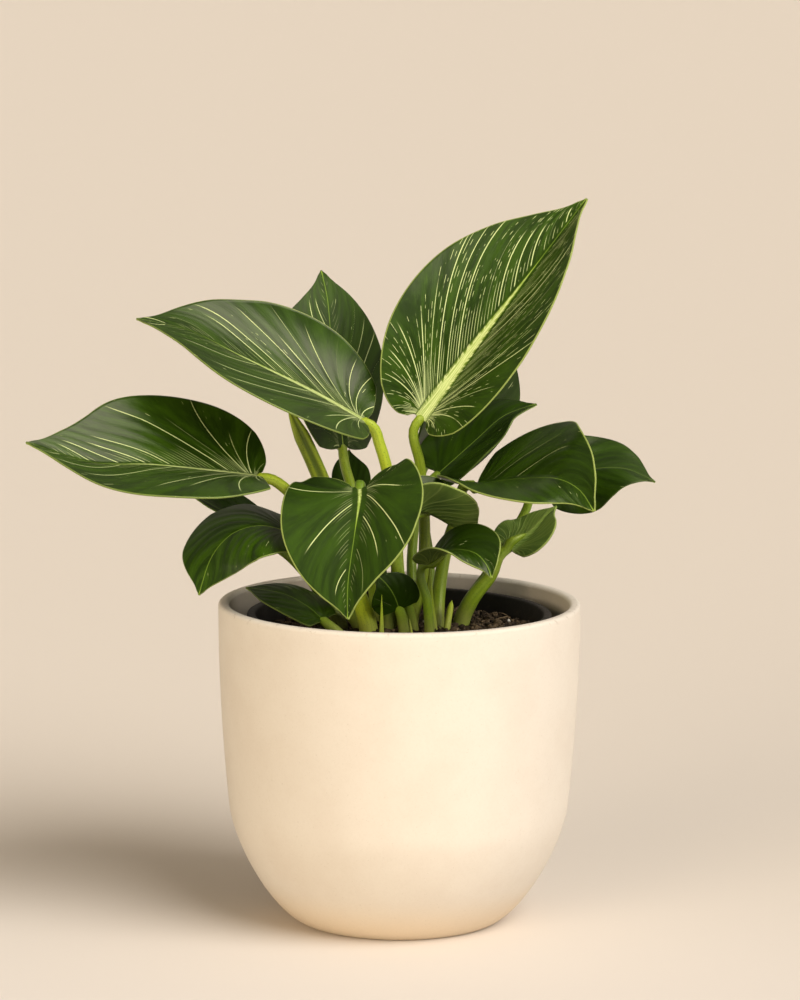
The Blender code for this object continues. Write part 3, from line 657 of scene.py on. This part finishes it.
def fan_and_rest(shares):
    """How far through the fan of veins at the stalk, and through the veins after it, each share lies."""
    return np.clip(shares / FAN_SHARE, 0, 1), np.clip((shares - FAN_SHARE) / (TIP_SHARE - FAN_SHARE), 0, 1)


class Blade:
    """The bent surface of one leaf: its midrib, its flat outline, and where a flat point ends up."""

    def __init__(self, leaf):
        self.leaf = leaf
        self.points = smooth_path(leaf["rib"], np.linspace(0, 1, RIB_POINTS))
        self.measure = measured(self.points)
        self.length = self.measure[-1]
        self.ways = np.gradient(self.points, self.measure, axis=0)
        self.collar = leaf["radius"][1] + COLLAR_GAP
        self.thickest = RIB_THICKNESS * leaf["radius"][1]

    def along_rib(self, distances, table):
        return np.stack([np.interp(distances, self.measure, table[:, k]) for k in range(3)], axis=-1)

    def frame_at(self, share):
        """A point of the rib, its direction, and where the upper side looks."""
        place = self.along_rib(share * self.length, self.points)
        way = unit(self.along_rib(share * self.length, self.ways))
        face = np.asarray(self.leaf["face"], float)
        up = unit(face - way * (way @ face)[..., None])
        first, last = self.leaf["turn"]
        turn = np.radians(first + (last - first) * share)[..., None]
        return place, way, up * np.cos(turn) + np.cross(way, up) * np.sin(turn)

    def edge(self, side, shares):
        """The flat outline of one half, as along and across in millimetres."""
        along, across = smooth_path(HALF_OUTLINE, shares).T
        along = np.where(along < 0, along * self.leaf["lobe"][side], along)
        half_width = self.leaf["width"] / 2
        notch = max(0.0, self.collar + NOTCH_MARGIN - HALF_OUTLINE[0][1] * half_width) * (1 - across)
        edge_y = across * half_width + np.where(shares < WIDEST_SHARE, notch, 0.0)
        taper = np.clip((shares - TIP_TAPER_SHARE) / (TIP_SHARE - TIP_TAPER_SHARE), 0, 1)
        return along * self.length, edge_y * (1 - TIP_TAPER * taper ** 2)

    def rib_half(self, share, edge_y):
        """Half the width of the rib's strip, at a share of the rib's length."""
        return np.minimum(self.collar * (1 - RIB_TAPER * share), RIB_SHARE * edge_y)

    def half(self, side, shares, places):
        """One half of the flat leaf: the rib's strip, then the side veins from the rib to the edge."""
        edge_x, edge_y = self.edge(side, shares)
        fan, rest = fan_and_rest(shares)
        start = FAN_START * fan + (TIP_SHARE - FAN_START) * rest ** VEIN_CROWDING
        back = 90 + FAN_BACK * min(self.leaf["lobe"][side], 1.0)
        angle = np.where(shares < FAN_SHARE, back - (back - VEIN_LEAVES_AT) * fan ** FAN_POWER,
                         VEIN_LEAVES_AT + (VEIN_AT_TIP - VEIN_LEAVES_AT) * rest)
        rib_x = start * self.length
        rib_y = self.rib_half(start, edge_y)
        reach = np.where(shares < FAN_SHARE, FAN_SWING + (VEIN_SWING - FAN_SWING) * fan, VEIN_SWING)
        reach = reach * np.hypot(edge_x - rib_x, edge_y - rib_y)
        bend_x = rib_x + reach * np.cos(np.radians(angle))
        bend_y = rib_y + reach * np.sin(np.radians(angle))
        strip = np.linspace(0, 1, RIB_PLACES, endpoint=False)[1:]
        t = places[None, :]
        x = (1 - t) ** 2 * rib_x[:, None] + 2 * t * (1 - t) * bend_x[:, None] + t ** 2 * edge_x[:, None]
        y = (1 - t) ** 2 * rib_y[:, None] + 2 * t * (1 - t) * bend_y[:, None] + t ** 2 * edge_y[:, None]
        middle_x = rib_x - np.minimum(rib_y / math.tan(math.radians(VEIN_LEAVES_AT)), 0.6 * rib_x)
        x = np.hstack([middle_x[:, None] + (rib_x - middle_x)[:, None] * strip, x])
        y = np.hstack([rib_y[:, None] * strip, y])
        return x, y, middle_x

    def raised(self, side, along, across):
        """Where flat points lie once the blade is bent, turned, folded and curled."""
        leaf = self.leaf
        share = np.clip(along / self.length, 0, 1)
        place, way, up = self.frame_at(share)
        out = np.cross(way, up) * (-1, 1)[side]
        outline_x, outline_y = self.edge(side, np.linspace(0.1, 1, 60))
        rib_half = self.rib_half(share, np.interp(along, outline_x, outline_y))
        flat = np.minimum(across, rib_half)
        wing = np.maximum(across - rib_half, 0.0)
        fold = np.radians(leaf["fold"][side]) * (1 - FOLD_OPENING * share)
        bend = math.radians(leaf["curl"][side]) / (leaf["width"] / 2)
        if abs(bend) < 1e-6:
            outward, lift = wing * np.cos(fold), wing * np.sin(fold)
        else:
            outward = (np.sin(fold + bend * wing) - np.sin(fold)) / bend
            lift = (np.cos(fold) - np.cos(fold + bend * wing)) / bend
        return (place + way * np.minimum(along, 0.0)[..., None] + out * (flat + outward)[..., None]
                + up * lift[..., None])


def distance_to_line(x, y, line_x, line_y):
    """The shortest flat distance from each point to a broken line."""
    ax, ay = line_x[:-1], line_y[:-1]
    bx, by = np.diff(line_x), np.diff(line_y)
    span = np.maximum(bx ** 2 + by ** 2, 1e-9)
    px, py = x.ravel()[:, None] - ax, y.ravel()[:, None] - ay
    t = np.clip((px * bx + py * by) / span, 0, 1)
    return np.hypot(px - t * bx, py - t * by).min(axis=1).reshape(x.shape)


def vein_number(shares):
    """Counts the side veins from 0 at the notch to 1 at the tip, so that they leave the rib evenly."""
    fan, rest = fan_and_rest(shares)
    return FAN_VEINS * fan + (1 - FAN_VEINS) * rest ** VEIN_SPACING


def half_readings(blade, side, shares, places, x, y):
    """What the leaf's finish needs to know at each point of one half."""
    numbers = vein_number(shares)
    vein = np.repeat(numbers[:, None], x.shape[1], axis=1)
    strip = RIB_PLACES - 1
    place = np.repeat(np.concatenate([np.zeros(strip), places])[None, :], len(shares), axis=0)
    step_x, step_y = np.gradient(x, axis=1), np.gradient(y, axis=1)
    step = np.hypot(step_x, step_y)
    per_vein_x, per_vein_y = np.gradient(x, numbers, axis=0), np.gradient(y, numbers, axis=0)
    spread = np.abs(per_vein_x * step_y - per_vein_y * step_x) / np.maximum(step, 1e-6)
    run = np.cumsum(step, axis=1)
    edge_x, edge_y = blade.edge(side, np.linspace(0, TIP_SHARE, 240))
    return dict(vein=vein, place=place, spread=spread, run=run, across=y * (-1, 1)[side],
                along=x / blade.length, margin=distance_to_line(x, y, edge_x, edge_y))


def sheet_normals(points, faces):
    quads = points[faces]
    across = np.cross(quads[:, 2] - quads[:, 0], quads[:, 3] - quads[:, 1])
    normals = np.zeros_like(points)
    for corner in range(4):
        np.add.at(normals, faces[:, corner], across)
    return unit(normals)


def rim_edges(faces):
    """The edges that only one face of an open sheet uses, in that face's order."""
    seen = {}
    for face in faces.tolist():
        for a, b in zip(face, face[1:] + face[:1]):
            if (b, a) in seen:
                del seen[(b, a)]
            else:
                seen[(a, b)] = True
    return list(seen)


def leaf_face_finish():
    leaf = Finish("leaf_face")
    vein, place, spread, run = leaf.all_written("vein place spread run")
    across, along, margin, edge = leaf.all_written("across along margin edge")
    seed, veins, lines, dashes = leaf.all_written("seed veins lines dashes")
    band, reach, tone, dull = leaf.all_written("band reach tone dull")
    half = across.worked("SIGN")

    # The pale main lines: each vein has its own strength, width and end, and a slightly ragged edge
    counted = vein * veins
    line = counted.worked("ROUND")
    key = line + seed * 31.0 + half * 0.37
    offset = (counted - line).worked("ABSOLUTE") / veins * spread
    strength = leaf.chance(key).rise(lines * -1.0 + 0.9, lines * -1.0 + 1.25)
    end = leaf.chance(key + 0.5) * 0.5 + 0.6
    ragged = leaf.cloud(leaf.spot(key, run * 0.9, half), 1.0, 3.0, 0.7)
    width = strength * 0.12 + ragged * 0.14 - 0.06
    main = offset.fall(width, width + 0.11) * strength.rise(0.0, 0.6) * place.fall(end - 0.2, end)
    main = main * place.rise(0.0, 0.03)

    # The short dashes between them, and the fine threads that run out from the midrib
    counted = vein * veins * 4.0
    line = counted.worked("ROUND")
    offset = (counted - line).worked("ABSOLUTE") / veins / 4.0 * spread
    row = leaf.chance(line + seed * 13.0 + half * 0.21)
    broken = leaf.cloud(leaf.spot(line * 3.7 + seed * 5.1, run * 0.17, half * 9.0), 1.0, 1.5, 0.6)
    patch = leaf.cloud(leaf.spot(vein * 6.0 + half * 3.0, run * 0.03, seed * 2.3), 1.0, 1.0)
    cut = patch * -0.35 - dashes * 0.30 - row * 0.12 + 0.98
    dash = offset.fall(0.04, 0.13) * broken.rise(cut, cut + 0.06) * (vein.fall(0.75, 1.0) * 0.6 + 0.4)
    thread_end = row * 0.3 + 0.06
    root = place.fall(thread_end * 0.5, thread_end) * lines.rise(0.2, 0.8)
    dash = dash.worked("MAXIMUM", offset.fall(0.03, 0.14) * root * row.rise(0.2, 0.5)) * place.rise(0.0, 0.03)

    # The pale midrib, slit with green and toothed where the veins leave it, and the thread it becomes
    from_rib = across.worked("ABSOLUTE")
    half_band = band * (along / reach).fall(0.0, 1.0) ** 0.8
    slits = leaf.cloud(leaf.spot(across * 2.8, along * 8.0, seed), 1.0, 3.0, 0.7)
    teeth = leaf.cloud(leaf.spot(vein * veins * 4.0, half * 5.0, seed), 1.0, 2.0)
    feather = half_band * (teeth.rise(0.36, 0.64) * 0.5 + 0.7)
    rib = from_rib.fall(feather - 0.8, feather + 0.1) * half_band.rise(0.05, 0.4)
    rib = rib * (slits.fall(0.44, 0.58) * 0.75 + 0.25)
    thread = from_rib.fall(0.1, 0.4) * 0.4

    # Green with streaks along the veins, and the thin pale edge, which comes and goes
    streak = leaf.cloud(leaf.spot(vein * veins * 1.3 + seed * 3.0, run * 0.03, half * 2.0), 1.0, 4.0, 0.6)
    fine = leaf.cloud(leaf.spot(vein * veins * 9.0, run * 0.2, half * 2.0), 1.0, 3.0, 0.6)
    green = leaf.mixed(streak.rise(0.35, 0.65) * (tone * 0.8 + 0.2), LEAF_DARK, LEAF_MID)
    green = leaf.mixed(fine.rise(0.5, 0.75) * tone * 0.4, green, LEAF_LIGHT)
    color = leaf.mixed(thread, green, (0.09, 0.16, 0.02))
    color = leaf.mixed(from_rib.fall(half_band * 0.3, half_band * 1.2 + 0.1) * 0.8, color, RIB_GREEN)
    color = leaf.mixed(dash * 0.85, color, LEAF_PALE)
    color = leaf.mixed(main * 0.95, color, LEAF_PALE)
    color = leaf.mixed(rib, color, RIB_PALE)
    worn = leaf.cloud(leaf.spot(vein * 9.0, half, seed), 1.0, 3.0)
    edge_width = edge * (worn * 1.2 + 0.2)
    pale_edge = margin.fall(edge_width * 0.4, edge_width) * edge.rise(0.1, 0.55) * 0.7
    color = leaf.mixed(pale_edge, color, EDGE_PALE)
    leaf.shader.inputs["Specular IOR Level"].default_value = 0.3
    return leaf.give(color, fine * 0.14 + 0.26 + dull, fine * 0.5 + streak * 0.5 + main * 0.3, 0.12)


def leaf_back_finish():
    leaf = Finish("leaf_back")
    vein, spread, run, across = leaf.all_written("vein spread run across")
    margin, edge, veins, seed = leaf.all_written("margin edge veins seed")
    half = across.worked("SIGN")
    counted = vein * veins * 1.6
    offset = (counted - counted.worked("ROUND")).worked("ABSOLUTE") / veins / 1.6 * spread
    line = offset.fall(0.08, 0.32)
    fine = leaf.cloud(leaf.spot(vein * veins * 8.0 + seed, run * 0.12, half * 2.0), 1.0, 3.0, 0.6)
    broad = leaf.cloud(leaf.spot(vein * veins * 0.8 + seed, run * 0.05, half * 2.0), 1.0, 2.0)
    color = leaf.mixed(broad.rise(0.3, 0.7), UNDER_DARK, UNDER_MID)
    color = leaf.mixed(fine.rise(0.45, 0.75) * 0.35, color, UNDER_LINE)
    color = leaf.mixed(line * 0.55, color, UNDER_LINE)
    color = leaf.mixed(across.worked("ABSOLUTE").fall(0.6, 2.0) * 0.6, color, (0.22, 0.30, 0.06))
    color = leaf.mixed(margin.fall(edge * 0.4, edge) * edge.rise(0.1, 0.55) * 0.7, color, EDGE_PALE)
    return leaf.give(color, fine * 0.2 + 0.38, line * 0.6 + fine * 0.4, 0.12)


def blade_sheet(blade, shares, places):
    """The upper side of a blade as points and faces, with what its finish needs to know at each point."""
    middle_x = blade.half(0, shares, places)[2]
    points = [blade.frame_at(middle_x / blade.length)[0]]
    zeros = np.zeros(len(shares))
    readings = dict(vein=[vein_number(shares)], place=[zeros], spread=[zeros + 0.5 * blade.length],
                    run=[zeros], across=[zeros], along=[middle_x / blade.length], margin=[zeros + 5.0])
    faces, first = [], len(shares)
    for side in (0, 1):
        x, y, _ = blade.half(side, shares, places)
        points.append(blade.raised(side, x, y).reshape(-1, 3))
        for name, values in half_readings(blade, side, shares, places, x, y).items():
            readings[name].append(values.ravel())
        index = first + np.arange(x.size).reshape(x.shape)
        index = np.hstack([np.arange(len(shares))[:, None], index])
        quads = np.stack([index[:-1, :-1], index[:-1, 1:], index[1:, 1:], index[1:, :-1]], axis=-1)
        quads = quads.reshape(-1, 4)
        faces.append(quads if side else quads[:, ::-1])
        first += x.size
    readings = {name: np.concatenate(values) for name, values in readings.items()}
    return np.vstack(points), np.vstack(faces), readings


def blade_depths(blade, veins, readings):
    """How far the upper side sinks at the main veins and the rib, and how thick the blade is there."""
    wave = 1 + np.cos(2 * np.pi * veins * readings["vein"])
    wave *= np.clip(readings["spread"] / veins / 4.0, 0, 1) * np.sin(np.pi * readings["place"]) ** 0.5
    from_rib = np.abs(readings["across"])
    rib_size = blade.collar * (1 - RIB_TAPER * readings["along"])
    hump = np.clip(1 - (from_rib / rib_size / 1.2) ** 2, 0, 1)
    groove = np.exp(-(from_rib / 1.1) ** 2) * (1 - readings["along"])
    rib_depth = (blade.thickest - BLADE_THICKNESS) * (1 - readings["along"]) + RIB_SINK * groove
    return VEIN_SINK * wave + RIB_SINK * groove, BLADE_THICKNESS + rib_depth * hump + 0.6 * VEIN_SINK * wave


def make_blade(number, leaf, look, finishes):
    blade = Blade(leaf)
    rows, steps = LARGE_STEPS if leaf["width"] > LARGE_BLADE else SMALL_STEPS
    shares = TIP_SHARE * np.linspace(0, 1, rows + 1)
    points, faces, readings = blade_sheet(blade, shares, np.linspace(0, 1, steps + 1))
    normals = sheet_normals(points, faces)
    sinks, thickness = blade_depths(blade, look["veins"], readings)
    upper = points - normals * sinks[:, None]
    lower = points - normals * thickness[:, None]

    # Close the edge with a rounded strip, whose outermost line is the leaf's own edge
    edges = np.array(rim_edges(faces))
    rim = np.unique(edges)
    rim_index = {int(v): k for k, v in enumerate(rim)}
    outward = np.zeros((len(rim), 3))
    for a, b in edges.tolist():
        away = np.cross(points[b] - points[a], normals[a])
        outward[rim_index[a]] += away
        outward[rim_index[b]] += away
    middle = points[rim] - normals[rim] * BLADE_THICKNESS / 2
    inset = unit(outward + 1e-12) * EDGE_ROUND
    upper[rim] -= inset
    lower[rim] -= inset
    count = len(points)
    lower_faces = (faces[:, ::-1] + count).tolist()
    upper_strip, lower_strip = [], []
    for a, b in edges.tolist():
        mid_a, mid_b = 2 * count + rim_index[a], 2 * count + rim_index[b]
        upper_strip.append((b, a, mid_a, mid_b))
        lower_strip.append((mid_b, mid_a, a + count, b + count))
    all_faces = faces.tolist() + upper_strip + lower_faces + lower_strip
    # No smooth edge swells past the box of the solids, whose edges are straight between their corners
    skin_points = np.clip(np.vstack([upper, lower, middle]), *(np.array(corner) / MM for corner in cad_box))
    piece = make_piece("leaf_" + leaf["name"], skin_points, all_faces, finishes,
                       ["blade_" + leaf["name"]])
    back = np.zeros(len(all_faces), np.int32)
    back[len(faces) + len(upper_strip):] = 1
    piece.data.polygons.foreach_set("material_index", back)
    for reading, values in readings.items():
        write_numbers(piece, reading, np.concatenate([values, values, values[rim]]))
    everywhere = np.ones(2 * count + len(rim))
    for reading, value in dict(LEAF_PLAIN, **look, seed=number).items():
        write_numbers(piece, reading, everywhere * value)
    return blade


leaf_finishes = [leaf_face_finish(), leaf_back_finish()]
blades = [make_blade(number, leaf, LEAF_LOOKS[leaf["name"]], leaf_finishes)
          for number, leaf in enumerate(LEAVES)]

# Stalks: round and fleshy, with a shallow channel on the upper side, thick at the soil where each one
# wrapped the next, and running on under the blade as its midrib.
STALK_DEPTH = 14.0
STALK_GAP = 0.5
APPROACH = 1.5
STEM_SIDES = 20
STEM_SPACING = 2.4
STEM_TAPER = 0.7
# How yellow each leaf's stalk is: partly its own yellow-green, partly painted light, yellower on stalks that
# stand in the light and darker green on those in shade.
STALK_YELLOW_AND_LIGHT = {"top_right": 0.55, "upper_left": 1.0, "left": 0.85, "back": 0.45, "front": 0.1, "right": 0.4,
                "low_right": 0.35, "rolled": 0.35, "low_left": 0.25, "low_middle": 0.2}


def stem_finish():
    stem = Finish("stalk_skin")
    place = stem.place()
    height, round_it, yellow, channel = stem.all_written("height round yellow channel")
    # The open channel inside a sheath is painted darker green, as painted shade in its hollow.
    channel_shade = round_it.fall(0.08, 0.24) * channel.rise(0.2, 0.5)
    streak = stem.cloud(stem.spot(round_it * 9.0, height * 0.05, yellow * 7.0), 1.0, 3.0, 0.6)
    mottle = stem.cloud(place, 0.25, 3.0)
    fleck = stem.cloud(place, 2.2, 1.0)
    # Dark green to yellow: on the sheaths their own pale yellow, on the leaf stalks also painted light and
    # shade.
    color = stem.mixed(yellow, (0.085, 0.155, 0.008), (0.34, 0.41, 0.022))
    color = stem.mixed(streak.rise(0.35, 0.7) * 0.35, color, (0.05, 0.11, 0.006))
    color = stem.mixed(mottle.rise(0.5, 0.75) * 0.25, color, (0.30, 0.34, 0.06))
    color = stem.mixed(fleck.rise(0.60, 0.68) * 0.55, color, (0.035, 0.085, 0.01))
    color = stem.mixed(height.fall(1.0, 12.0) * 0.5, color, (0.20, 0.19, 0.06))
    color = stem.mixed(channel_shade * 0.75, color, (0.055, 0.085, 0.01))
    return stem.give(color, streak * 0.15 + 0.36, streak + fleck * 0.4, 0.12)


def rooted(points, *top):
    """A stem's route from STALK_DEPTH below the soil through its points, and how long it is."""
    foot = np.array(points[0], float) - (0, 0, STALK_DEPTH)
    route = [foot, *(np.array(p, float) for p in points), *top]
    return route, np.linalg.norm(np.diff(route, axis=0), axis=1).sum()


def make_stem(name, places, sizes, front, finish, node, yellow, channel=0.12, channel_width=0.5):
    """A stem through rings of given places and sizes. The channel looks towards front at its top."""
    ways = unit(np.gradient(places, axis=0))
    front = np.asarray(front, float)
    fronts = np.empty_like(places)
    for k in range(len(places) - 1, -1, -1):
        front = front - ways[k] * (ways[k] @ front)
        front = front / np.linalg.norm(front)
        fronts[k] = front
    beside = np.cross(ways, fronts)
    angles = np.linspace(-math.pi, math.pi, STEM_SIDES, endpoint=False)
    dip = 1 - channel * np.exp(-(angles / channel_width) ** 2)
    cosines, sines = np.cos(angles)[None, :, None], np.sin(angles)[None, :, None]
    rings = places[:, None] + (sizes[:, None, None] * dip[None, :, None]
                               * (cosines * fronts[:, None] + sines * beside[:, None]))
    count = len(places)
    faces = []
    for k in range(count - 1):
        for side in range(STEM_SIDES):
            after = (side + 1) % STEM_SIDES
            here, there = k * STEM_SIDES, (k + 1) * STEM_SIDES
            faces.append((here + side, here + after, there + after, there + side))
    faces.append(tuple(range(STEM_SIDES))[::-1])
    faces.append(tuple(range((count - 1) * STEM_SIDES, count * STEM_SIDES)))
    piece = make_piece(name, rings.reshape(-1, 3), faces, [finish], [node])
    write_numbers(piece, "round", np.tile(np.abs(angles) / math.pi, count))
    write_numbers(piece, "height", np.repeat(measured(places) - STALK_DEPTH, STEM_SIDES))
    write_numbers(piece, "yellow", np.full(count * STEM_SIDES, yellow))
    write_numbers(piece, "channel", np.full(count * STEM_SIDES, channel))


def make_stalk(leaf, blade, finish):
    start, way, up = (v[0] for v in blade.frame_at(np.zeros(1)))
    end = start - way * STALK_GAP - up * blade.thickest / 2
    route, length = rooted(leaf["stalk"], end - way * APPROACH * leaf["radius"][1], end)
    count = int(length / STEM_SPACING)
    places = smooth_path(route, np.linspace(0, 1, 8 * count), by_length=True)
    measure = measured(places)
    even = np.linspace(0, measure[-1], count)
    places = np.stack([np.interp(even, measure, places[:, k]) for k in range(3)], axis=1)
    first, last = leaf["radius"]
    sizes = first + (last - first) * np.linspace(0, 1, count) ** STEM_TAPER

    # The stalk runs on under the blade for a few millimetres, ever thinner
    under_x = np.linspace(1.5, 9.0, 5)
    under_sizes = last * np.array([0.92, 0.82, 0.68, 0.5, 0.3])
    rib, _, rib_up = blade.frame_at(under_x / blade.length)
    under = rib - rib_up * (under_sizes + 0.25 + RIB_SINK)[:, None]
    places = np.vstack([places, under])
    sizes = np.concatenate([sizes, under_sizes])
    make_stem("petiole_" + leaf["name"], places, sizes, up, finish, "stalk_" + leaf["name"],
              STALK_YELLOW_AND_LIGHT.get(leaf["name"], 0.25))


skin = stem_finish()
for leaf, blade in zip(LEAVES, blades):
    make_stalk(leaf, blade, skin)

# Sheaths and stubs: pale papery scale leaves that wrapped a new leaf and now stand open beside it, two
# small spikes of the same kind, and the cut end of an old stalk. They open towards SHEATH_FRONT.
SHEATH_FRONT = (0.25, -1.0, 0.0)
SHEATH_CHANNEL_WIDTH = 0.7
SHEATH_SPACING = 1.6
SHEATHS = (
    dict(name="sheath_tall", points=((-16, 23, 118), (-21, 23, 142), (-32, 22, 175), (-45, 20, 204)),
         radius=(4.2, 3.2), channel=0.55, tip=0.12, yellow=0.75),
    dict(name="sheath_middle", points=((13, -6, 118), (12, -7, 131), (12, -8, 145)), radius=(3.8, 0.8),
         channel=0.3, tip=0.25, yellow=0.6),
    dict(name="spike_left", points=((-7, -25, 118), (-7, -25, 128), (-7, -25, 136)), radius=(1.8, 0.6),
         channel=0.3, tip=0.5, yellow=0.8),
    dict(name="spike_middle", points=((5, -17, 118), (4, -17, 125)), radius=(1.6, 0.6), channel=0.2, tip=0.5,
         yellow=0.7),
    dict(name="old_stub", points=((19, -3, 118), (20, 0, 124), (21, 2, 129)), radius=(1.8, 1.2), channel=0.1,
         tip=0.1, yellow=0.9),
)


def make_sheath(sheath, finish):
    route, length = rooted(sheath["points"])
    shares = np.linspace(0, 1, int(length / SHEATH_SPACING))
    places = smooth_path(route, shares, by_length=True)
    first, last = sheath["radius"]
    sizes = first + (last - first) * shares ** STEM_TAPER
    sizes *= np.clip((1 - shares) / sheath["tip"], 0.02, 1) ** 0.6
    make_stem(sheath["name"] + "_open", places, sizes, SHEATH_FRONT, finish, sheath["name"],
              sheath["yellow"], sheath["channel"], SHEATH_CHANNEL_WIDTH)


for sheath in SHEATHS:
    make_sheath(sheath, skin)

# The stand: a plain pale paper floor that runs on behind as the backdrop, soft daylight from the right
# front and above, warm light thrown back from the left front, and the camera where the photograph was
# taken.
FLOOR_RADIUS = 60.0
FLOOR_SIDES = 96
# The paper is painted lighter near the front than far back: painted light on the front of the floor.
PAPER_NEAR_LIT = (0.70, 0.632, 0.556)
PAPER_FAR = (0.655, 0.582, 0.495)
BACKDROP = (0.78, 0.66, 0.53)
DAYLIGHT = (1.0, 0.87, 0.72)
DAYLIGHT_STRENGTH = 0.26
SHEEN_FROM = (0.533, -0.141, 0.834)
SHEEN_STRENGTH = 7.0
CAMERA_PLACE = (0.0, -1.5755, 0.4082)
CAMERA_PITCH = 8.6
CAMERA_ROLL = 0.3
CAMERA_LENS = 143.8


def paper_finish():
    paper = Finish("backdrop_paper")
    where = paper.tree.nodes.new("ShaderNodeTexCoord")
    parts = paper.tree.nodes.new("ShaderNodeSeparateXYZ")
    paper.tree.links.new(where.outputs["Object"], parts.inputs[0])
    depth = Reading(paper.tree, parts.outputs["Y"])
    # Lighter towards the front: painted light.
    return paper.give(paper.mixed(depth.fall(-0.15, 0.15), PAPER_FAR, PAPER_NEAR_LIT), 0.9)


angles = np.linspace(0, 2 * math.pi, FLOOR_SIDES, endpoint=False)
rim = [(FLOOR_RADIUS * math.cos(a), FLOOR_RADIUS * math.sin(a), 0.0) for a in angles]
floor_mesh = bpy.data.meshes.new("floor")
floor_mesh.from_pydata(rim, [], [tuple(range(len(rim)))])
floor_mesh.materials.append(paper_finish().material)
floor = bpy.data.objects.new("floor", floor_mesh)
bpy.context.scene.collection.objects.link(floor)


def make_daylight():
    """Even warm light from all round, with a skylight high on the right that is only mirrored: its sheen
    lies on the leaves. The camera sees the plain backdrop colour where it looks past the floor."""
    world = bpy.data.worlds.new("daylight")
    world.use_nodes = True
    tree = world.node_tree
    looking = tree.nodes.new("ShaderNodeTexCoord")
    towards = tree.nodes.new("ShaderNodeVectorMath")
    towards.operation = "DOT_PRODUCT"
    towards.inputs[1].default_value = SHEEN_FROM
    tree.links.new(looking.outputs["Generated"], towards.inputs[0])
    path = tree.nodes.new("ShaderNodeLightPath")
    mirrored = Reading(tree, path.outputs["Is Glossy Ray"])
    skylight = Reading(tree, towards.outputs["Value"]).rise(0.88, 0.98) * mirrored
    sky = tree.nodes["Background"]
    sky.inputs["Color"].default_value = (*DAYLIGHT, 1.0)
    feed(tree, sky.inputs["Strength"], skylight * SHEEN_STRENGTH + DAYLIGHT_STRENGTH)
    backdrop = tree.nodes.new("ShaderNodeBackground")
    backdrop.inputs["Color"].default_value = (*BACKDROP, 1.0)
    either = tree.nodes.new("ShaderNodeMixShader")
    tree.links.new(path.outputs["Is Camera Ray"], either.inputs[0])
    tree.links.new(sky.outputs[0], either.inputs[1])
    tree.links.new(backdrop.outputs[0], either.inputs[2])
    tree.links.new(either.outputs[0], tree.nodes["World Output"].inputs["Surface"])
    bpy.context.scene.world = world


def make_light(name, energy, color, turn, tilt, width):
    """Far light from a patch of sky that is width degrees wide. It is tilted from straight down, and
    turned about Z from shining towards +Y. It lights surfaces but isn't mirrored in them, so that the
    leaves mirror the sky alone."""
    lamp = bpy.data.lights.new(name, "SUN")
    lamp.energy = energy
    lamp.color = color
    lamp.angle = math.radians(width)
    light = bpy.data.objects.new(name, lamp)
    light.matrix_world = (Matrix.Rotation(math.radians(turn), 4, "Z")
                          @ Matrix.Rotation(math.radians(tilt), 4, "X"))
    light.visible_glossy = False
    bpy.context.scene.collection.objects.link(light)


make_daylight()
make_light("window", 3.6, (1.0, 0.98, 0.96), turn=46, tilt=50, width=46)
make_light("side_window", 0.8, (1.0, 0.97, 0.95), turn=66, tilt=72, width=50)
make_light("reflector", 3.7, (1.0, 0.87, 0.69), turn=-36, tilt=86, width=40)
bpy.context.scene.view_settings.view_transform = "Standard"

camera_data = bpy.data.cameras.new("camera")
camera_data.lens = CAMERA_LENS
camera = bpy.data.objects.new("camera", camera_data)
camera.matrix_world = (Matrix.Translation(CAMERA_PLACE)
                       @ Matrix.Rotation(math.radians(90 - CAMERA_PITCH), 4, "X")
                       @ Matrix.Rotation(math.radians(CAMERA_ROLL), 4, "Z"))
bpy.context.scene.collection.objects.link(camera)
bpy.context.scene.camera = camera
